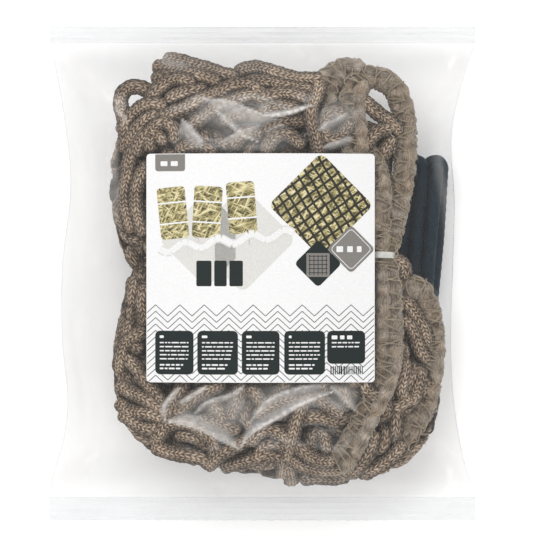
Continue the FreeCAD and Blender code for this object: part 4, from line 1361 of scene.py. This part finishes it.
def add_bag(cover):
    """The tube of film, with a strip of finer faces beside each seal."""
    film = film_material()
    top_fold, bottom_fold = FILM_HIGH[1] - FOLD_ROOM, FILM_LOW[1] + FOLD_ROOM
    body = add_film_part("bag_film_tube", bottom_fold, top_fold, film, cover)
    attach(body, "bag")
    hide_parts("bag_film")
    top_end, bottom_end = FILM_HIGH[1] + 1.4, FILM_LOW[1] - 1.4
    top = add_film_part("bag_film_top_fold", top_fold, top_end, film, cover, FOLD_STEP)
    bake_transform(top)
    bottom = add_film_part("bag_film_bottom_fold", bottom_end, bottom_fold, film, cover, FOLD_STEP)
    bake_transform(bottom)


def add_seal(node, body, ridges, root_side):
    """A crimped, welded band: fine ridges along it, a slight wave and an uneven cut edge."""
    low, high = box_mm(node)
    rows, columns = 44, 300
    share = np.linspace(0, 1, rows + 1)[:, None]
    x = np.linspace(low[0], high[0], columns + 1)[None, :]
    cut = 0.125 * np.sin(x * 0.9) * np.sin(x * 0.23)
    root_y, edge_y = (low[1], high[1]) if root_side == "low" else (high[1], low[1])
    y = root_y + (edge_y + cut - root_y) * share
    ribs = 0.5 * (0.5 + 0.5 * np.cos(2 * math.pi * ridges * share)) ** 3 * smooth_step(0.0, 0.1, share)
    wave = 0.9 * share * np.sin(x * 0.045 + 0.7) + 0.35 * share * np.sin(x * 0.16)
    fine = 0.10 * np.sin(x * 3.1) * (1 - np.abs(2 * share - 1))
    middle = (low[2] + high[2]) / 2 + wave + fine
    x = np.broadcast_to(x, y.shape)
    upper = np.stack([x, y, middle + 0.35 + ribs], axis=-1).reshape(-1, 3)
    lower = np.stack([x, y, middle - 0.35 + 0.6 * ribs], axis=-1).reshape(-1, 3)
    quads = grid_quads(rows, columns, closed=False)
    # The points along the edge, once round, join the upper side to the lower one.
    wide, half = columns + 1, len(upper)
    rim = np.concatenate([np.arange(wide), np.arange(1, rows + 1) * wide + columns,
                          rows * wide + np.arange(columns - 1, -1, -1), np.arange(rows - 1, 0, -1) * wide])
    ahead = np.roll(rim, -1)
    sides = np.stack([rim, rim + half, ahead + half, ahead], axis=-1)
    made = make_mesh(node + "_weld", np.concatenate([upper, lower]),
                     [quads, half + quads[:, ::-1], sides], seal_material())
    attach(made, body)
    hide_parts(node)


# ---------------------------------------------------------------- the label

def label_paper():
    """White, faintly fibrous paper."""
    stops = [(0.3, (0.84, 0.84, 0.85)), (0.7, 0.90)]
    return speckled("label_paper", 900.0, stops, {"Roughness": 0.5}, 0.03 * MM)


def ink(name, colour):
    """Flat print, a little uneven."""
    darker = tuple(0.88 * part for part in colour)
    stops = [(0.35, darker), (0.65, colour)]
    return speckled(name, 1500.0, stops, {"Roughness": 0.55, "Specular IOR Level": 0.2})


MESH_PRINTED = 0.0052      # distance between the printed net's cords, in metres


def hay_ink(name, netted):
    """A printed picture of hay, with a net over it where netted."""
    material, tree = new_material(name)
    place = put(tree, "ShaderNodeTexCoord").outputs["Object"]
    stalks = 0.0
    for angle, scale in ((0.5, 900.0), (2.0, 1100.0), (1.2, 700.0)):
        turned = mapping(tree, place, Rotation=(0.0, 0.0, angle))
        noise = noise_at(tree, mapping(tree, turned, Scale=(1.0, 0.12, 1.0)), scale, 1.0)
        stalks = math_node(tree, "MAXIMUM", stalks, noise)
    colour = ramp(tree, stalks, [
        (0.46, (0.060, 0.052, 0.022)), (0.57, (0.34, 0.29, 0.12)), (0.70, (0.78, 0.70, 0.42))])
    if netted:
        bend = put(tree, "ShaderNodeTexNoise", {"Vector": place, "Scale": 60.0}).outputs["Color"]
        bent = mix_colour(tree, 0.0012, place, bend, "LINEAR_LIGHT")
        grid = 0.5
        for angle in (math.pi / 4 + 0.15, -math.pi / 4 + 0.25):
            turned = mapping(tree, bent, Rotation=(0.0, 0.0, angle))
            across = put(tree, "ShaderNodeSeparateXYZ", {"Vector": turned}).outputs[0]
            line = zigzag(tree, multiply(tree, across, 1 / MESH_PRINTED))
            grid = math_node(tree, "MINIMUM", grid, line)
        cord = ramp(tree, grid, [(0.10, 0.0), (0.17, 1.0)])
        colour = mix_colour(tree, cord, (0.022, 0.020, 0.014), colour)
    return finish_principled(material, tree, {"Base Color": colour, "Roughness": 0.45})


def make_inks():
    """The label's inks, by the name that label_art gives them."""
    return {
        "grey": ink("grey_ink", (0.25, 0.235, 0.22)), "pale": ink("pale_ink", (0.76, 0.75, 0.72)),
        "dark": ink("dark_ink", (0.022, 0.030, 0.029)), "light": ink("light_ink", (0.90, 0.90, 0.90)),
        "hay": hay_ink("hay_picture", False), "netted": hay_ink("netted_hay_picture", True),
        "line": ink("line_ink", (0.10, 0.105, 0.105))}


def rounded_box(x0, y0, x1, y1, radius=1.2, steps=5):
    """Corners of a rounded rectangle, in millimetres from the label's top left, y downwards."""
    corners = []
    for centre_x, centre_y, start in ((x1 - radius, y0 + radius, -90), (x1 - radius, y1 - radius, 0),
                                      (x0 + radius, y1 - radius, 90), (x0 + radius, y0 + radius, 180)):
        for step in range(steps + 1):
            angle = math.radians(start + 90 * step / steps)
            corners.append((centre_x + radius * math.cos(angle), centre_y + radius * math.sin(angle)))
    return corners


def rounded_diamond(x, y, half, radius):
    """A square on its corner, with rounded corners."""
    side = half * math.sqrt(2)
    turned = []
    for px, py in rounded_box(-side / 2, -side / 2, side / 2, side / 2, radius):
        turned.append((x + (px - py) * math.sqrt(0.5), y + (px + py) * math.sqrt(0.5)))
    return turned


def leaning(corners, x, y, lean):
    """Corners turned by lean and moved to (x, y)."""
    return [(x + a * math.cos(lean) - b * math.sin(lean), y + a * math.sin(lean) + b * math.cos(lean))
            for a, b in corners]


def stroke(places, width):
    """Quads along a line of printed points."""
    quads = []
    for (x0, y0), (x1, y1) in zip(places[:-1], places[1:]):
        length = math.hypot(x1 - x0, y1 - y0)
        nx, ny = -(y1 - y0) / length * width / 2, (x1 - x0) / length * width / 2
        quads.append([(x0 + nx, y0 + ny), (x0 - nx, y0 - ny), (x1 - nx, y1 - ny), (x1 + nx, y1 + ny)])
    return quads


def word_bars(x0, x1, y, height, random, spread=(1.2, 4.5)):
    """A line of plain bars that stands in for printed words."""
    bars, x = [], x0
    while x < x1 - 1.0:
        width = min(random.uniform(*spread), x1 - x)
        bars.append(rounded_box(x, y, x + width, y + height, min(0.3, height / 2.2), 2))
        x += width + 0.7 * height
    return bars


def label_art(size):
    """Every printed shape as (ink, layer, corners), from the label's top left corner."""
    random = np.random.default_rng(5)
    art = [("grey", 1, rounded_box(5.2, -1.0, 22.6, 10.2, 1.6))]
    art += [("light", 2, bar) for bar in word_bars(8.3, 20.2, 4.4, 2.8, random, (2.6, 4.4))]
    for x, half in ((35.0, 28.0), (56.0, 31.0)):
        art.append(("pale", 1, rounded_diamond(x, 50.0, half, 5.0)))
    # Three bales of hay, with their straps.
    for x, y, lean in ((15.5, 34.5, -0.10), (35.5, 34.0, 0.06), (55.5, 31.5, -0.07)):
        art.append(("hay", 2, leaning(rounded_box(-8.2, -15.0, 8.2, 15.0, 2.2), x, y, lean)))
        for band in (-6.0, 6.0):
            strap = leaning([(-8.3, band), (8.3, band)], x, y, lean)
            art += [("light", 3, quad) for quad in stroke(strap, 0.9)]
    ribbon = [(8 + 77.5 * k / 24, 55.5 - 9.5 * k / 24 + 2.4 * math.sin(k * 1.05)) for k in range(25)]
    art += [("pale", 3, quad) for quad in stroke(ribbon, 5.2)]
    art += [("light", 4, quad) for quad in stroke(ribbon, 3.6)]
    for x0, x1 in ((29.2, 38.0), (39.6, 46.8), (48.4, 56.2)):
        art.append(("dark", 3, rounded_box(x0, 62.2, x1, 77.0, 0.9)))
    # The netted hay, and the two diamonds in front of it.
    art.append(("netted", 2, rounded_diamond(101.5, 30.0, 30.5, 4.0)))
    art.append(("grey", 3, rounded_diamond(119.0, 55.5, 14.1, 2.4)))
    frame_line = rounded_diamond(119.0, 55.5, 12.0, 2.0)
    art += [("light", 4, quad) for quad in stroke(frame_line + frame_line[:1], 0.4)]
    art += [("light", 4, bar) for bar in word_bars(110.5, 127.5, 53.8, 3.4, random, (2.6, 5.0))]
    art.append(("dark", 3, rounded_diamond(99.8, 63.9, 13.8, 2.4)))
    art.append(("grey", 4, rounded_box(93.0, 57.8, 106.5, 71.6, 0.8)))
    for k in range(5):
        art.append(("dark", 5, rounded_box(94.2, 59.4 + 2.4 * k, 105.3, 59.8 + 2.4 * k, 0.15, 1)))
        art.append(("dark", 5, rounded_box(94.8 + 2.4 * k, 58.8, 95.2 + 2.4 * k, 70.6, 0.15, 1)))
    return art + zigzag_band(size) + text_panels(random)


def zigzag_band(size):
    """Thin zigzag lines over the lower third of the label."""
    step, rise, apart, lines = 7.1, 6.5, 3.72, 13
    art = []
    for line in range(lines):
        top = 87.8 + apart * line
        places = [(-1.7 + k * step, top + rise * (k % 2 == 0)) for k in range(int(size[0] / step) + 3)]
        art += [("line", 1, quad) for quad in stroke(places, 0.42)]
    return art


# The five panels of text, from their left to their right edge.
PANELS = [(5.2, 27.5), (29.8, 53.3), (55.6, 77.4), (80.2, 103.8), (105.1, 127.2)]


def text_panels(random):
    """Dark panels with bars for their text. The last one is shorter, over a bare pattern of upright bars."""
    art = []
    for number, (x0, x1) in enumerate(PANELS):
        last = number == len(PANELS) - 1
        left = x0 + 2.6
        art.append(("dark", 2, rounded_box(x0, 102.9, x1, 122.0 if last else 128.2, 2.8)))
        header, header_height = (14.0, 2.2) if last else (3.6, 1.5)
        bars = word_bars(left, left + header, 105.6, header_height, random, (1.5, 3.6))
        for row in range(2 if last else 5):
            bars += word_bars(left, x1 - 2.8, 109.4 + 2.35 * row, 0.75, random)
        for row in range(0 if last else 2):
            bars += word_bars(left, x1 - 6.0, 122.2 + 2.1 * row, 0.95, random)
        art += [("light", 3, bar) for bar in bars]
    x = 107.0
    while x < 125.5:
        width = random.uniform(0.3, 0.9)
        art.append(("dark", 3, rounded_box(x, 123.4, x + width, 128.2, 0.08, 1)))
        x += width + random.uniform(0.35, 0.8)
    return art


PRINT_GAP = 0.45           # how far the print lies over the film's smooth front
PRINT_LAYER = 0.03         # and each of its layers over the one before
PRINT_MARGIN = 0.4         # left free along the label's edge
PRINT_STEP = 4             # the print is cut into strips this wide, so that it bends with the label


def cut_print(mesh, place, normal, trim):
    """Cuts the print along a plane. Where trim is true, what lies in front of the plane goes."""
    parts = list(mesh.verts) + list(mesh.edges) + list(mesh.faces)
    bmesh.ops.bisect_plane(mesh, geom=parts, plane_co=place, plane_no=normal, clear_outer=trim)


def add_label():
    """The label's paper, and the print as a thin sheet of its own."""
    recolour("label", label_paper())
    inks = make_inks()
    mesh = bmesh.new()
    for colour, layer, corners in label_art(LABEL_HIGH - LABEL_LOW):
        corners = [(LABEL_LOW[0] + x, LABEL_HIGH[1] - y, PRINT_LAYER * layer) for x, y in corners]
        face = mesh.faces.new([mesh.verts.new(corner) for corner in corners])
        face.material_index = list(inks).index(colour)
        face.normal_update()
        if face.normal.z < 0:
            face.normal_flip()
    cut_print(mesh, (LABEL_LOW[0] + PRINT_MARGIN, 0, 0), (-1, 0, 0), True)
    cut_print(mesh, (LABEL_HIGH[0] - PRINT_MARGIN, 0, 0), (1, 0, 0), True)
    cut_print(mesh, (0, LABEL_LOW[1] + PRINT_MARGIN, 0), (0, -1, 0), True)
    cut_print(mesh, (0, LABEL_HIGH[1] - PRINT_MARGIN, 0), (0, 1, 0), True)
    for x in np.arange(LABEL_LOW[0] + PRINT_STEP, LABEL_HIGH[0], PRINT_STEP):
        cut_print(mesh, (x, 0, 0), (1, 0, 0), False)
    surface = CROWN_RADIUS + PRINT_GAP
    for vert in mesh.verts:
        vert.co.z += math.sqrt(surface**2 - vert.co.x**2) - (CROWN_RADIUS - CROWN) + CREASE_Z
        vert.co *= MM
    data = bpy.data.meshes.new("label_print")
    mesh.to_mesh(data)
    mesh.free()
    for material in inks.values():
        data.materials.append(material)
    made = bpy.data.objects.new("label_print", data)
    bpy.context.scene.collection.objects.link(made)
    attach(made, "bag")


# ---------------------------------------------------------------- everything

def main():
    """Builds everything. The netting settles round the seams and the rope, and the film lies on it all."""
    add_camera()
    rope_path = add_rope()
    add_stage()
    upper = add_seam("side_seam_upper", UPPER_SEAM, 2.0)
    right = add_seam("side_seam_right", RIGHT_SEAM, 1.2)
    add_seam_thread("seam_thread_upper", upper, 0.4)
    add_seam_thread("seam_thread_right", right, 1.2)
    nylon = nylon_material()
    recolour("cable_tie_strap", nylon)
    recolour("cable_tie_head", nylon)
    seams = np.concatenate([evenly(path, 4.0) for path in upper + right])
    rope = evenly(rope_path, 6.0)
    radius = np.concatenate([
        np.full(len(seams), SEAM_RADIUS + 0.4), np.full(len(rope), ROPE_DIAMETER / 2 + 0.3)])
    laid = [spline_path(from_front(route)) for route in LAID_CORDS]
    netting = add_netting(np.concatenate([seams, rope]), radius, laid)
    seam_tops = np.concatenate([evenly(path, 1.0) for path in upper + right])
    cover = netting_cover([(netting, CORD_WIDTH / 2 + 0.4, CORD_THICKNESS / 2), (seam_tops, 8.0, 7.0)])
    add_bag(cover)
    add_seal("bag_top_seal", "top_seal", 3, "low")
    add_seal("bag_bottom_seal", "bottom_seal", 4, "high")
    add_label()


main()
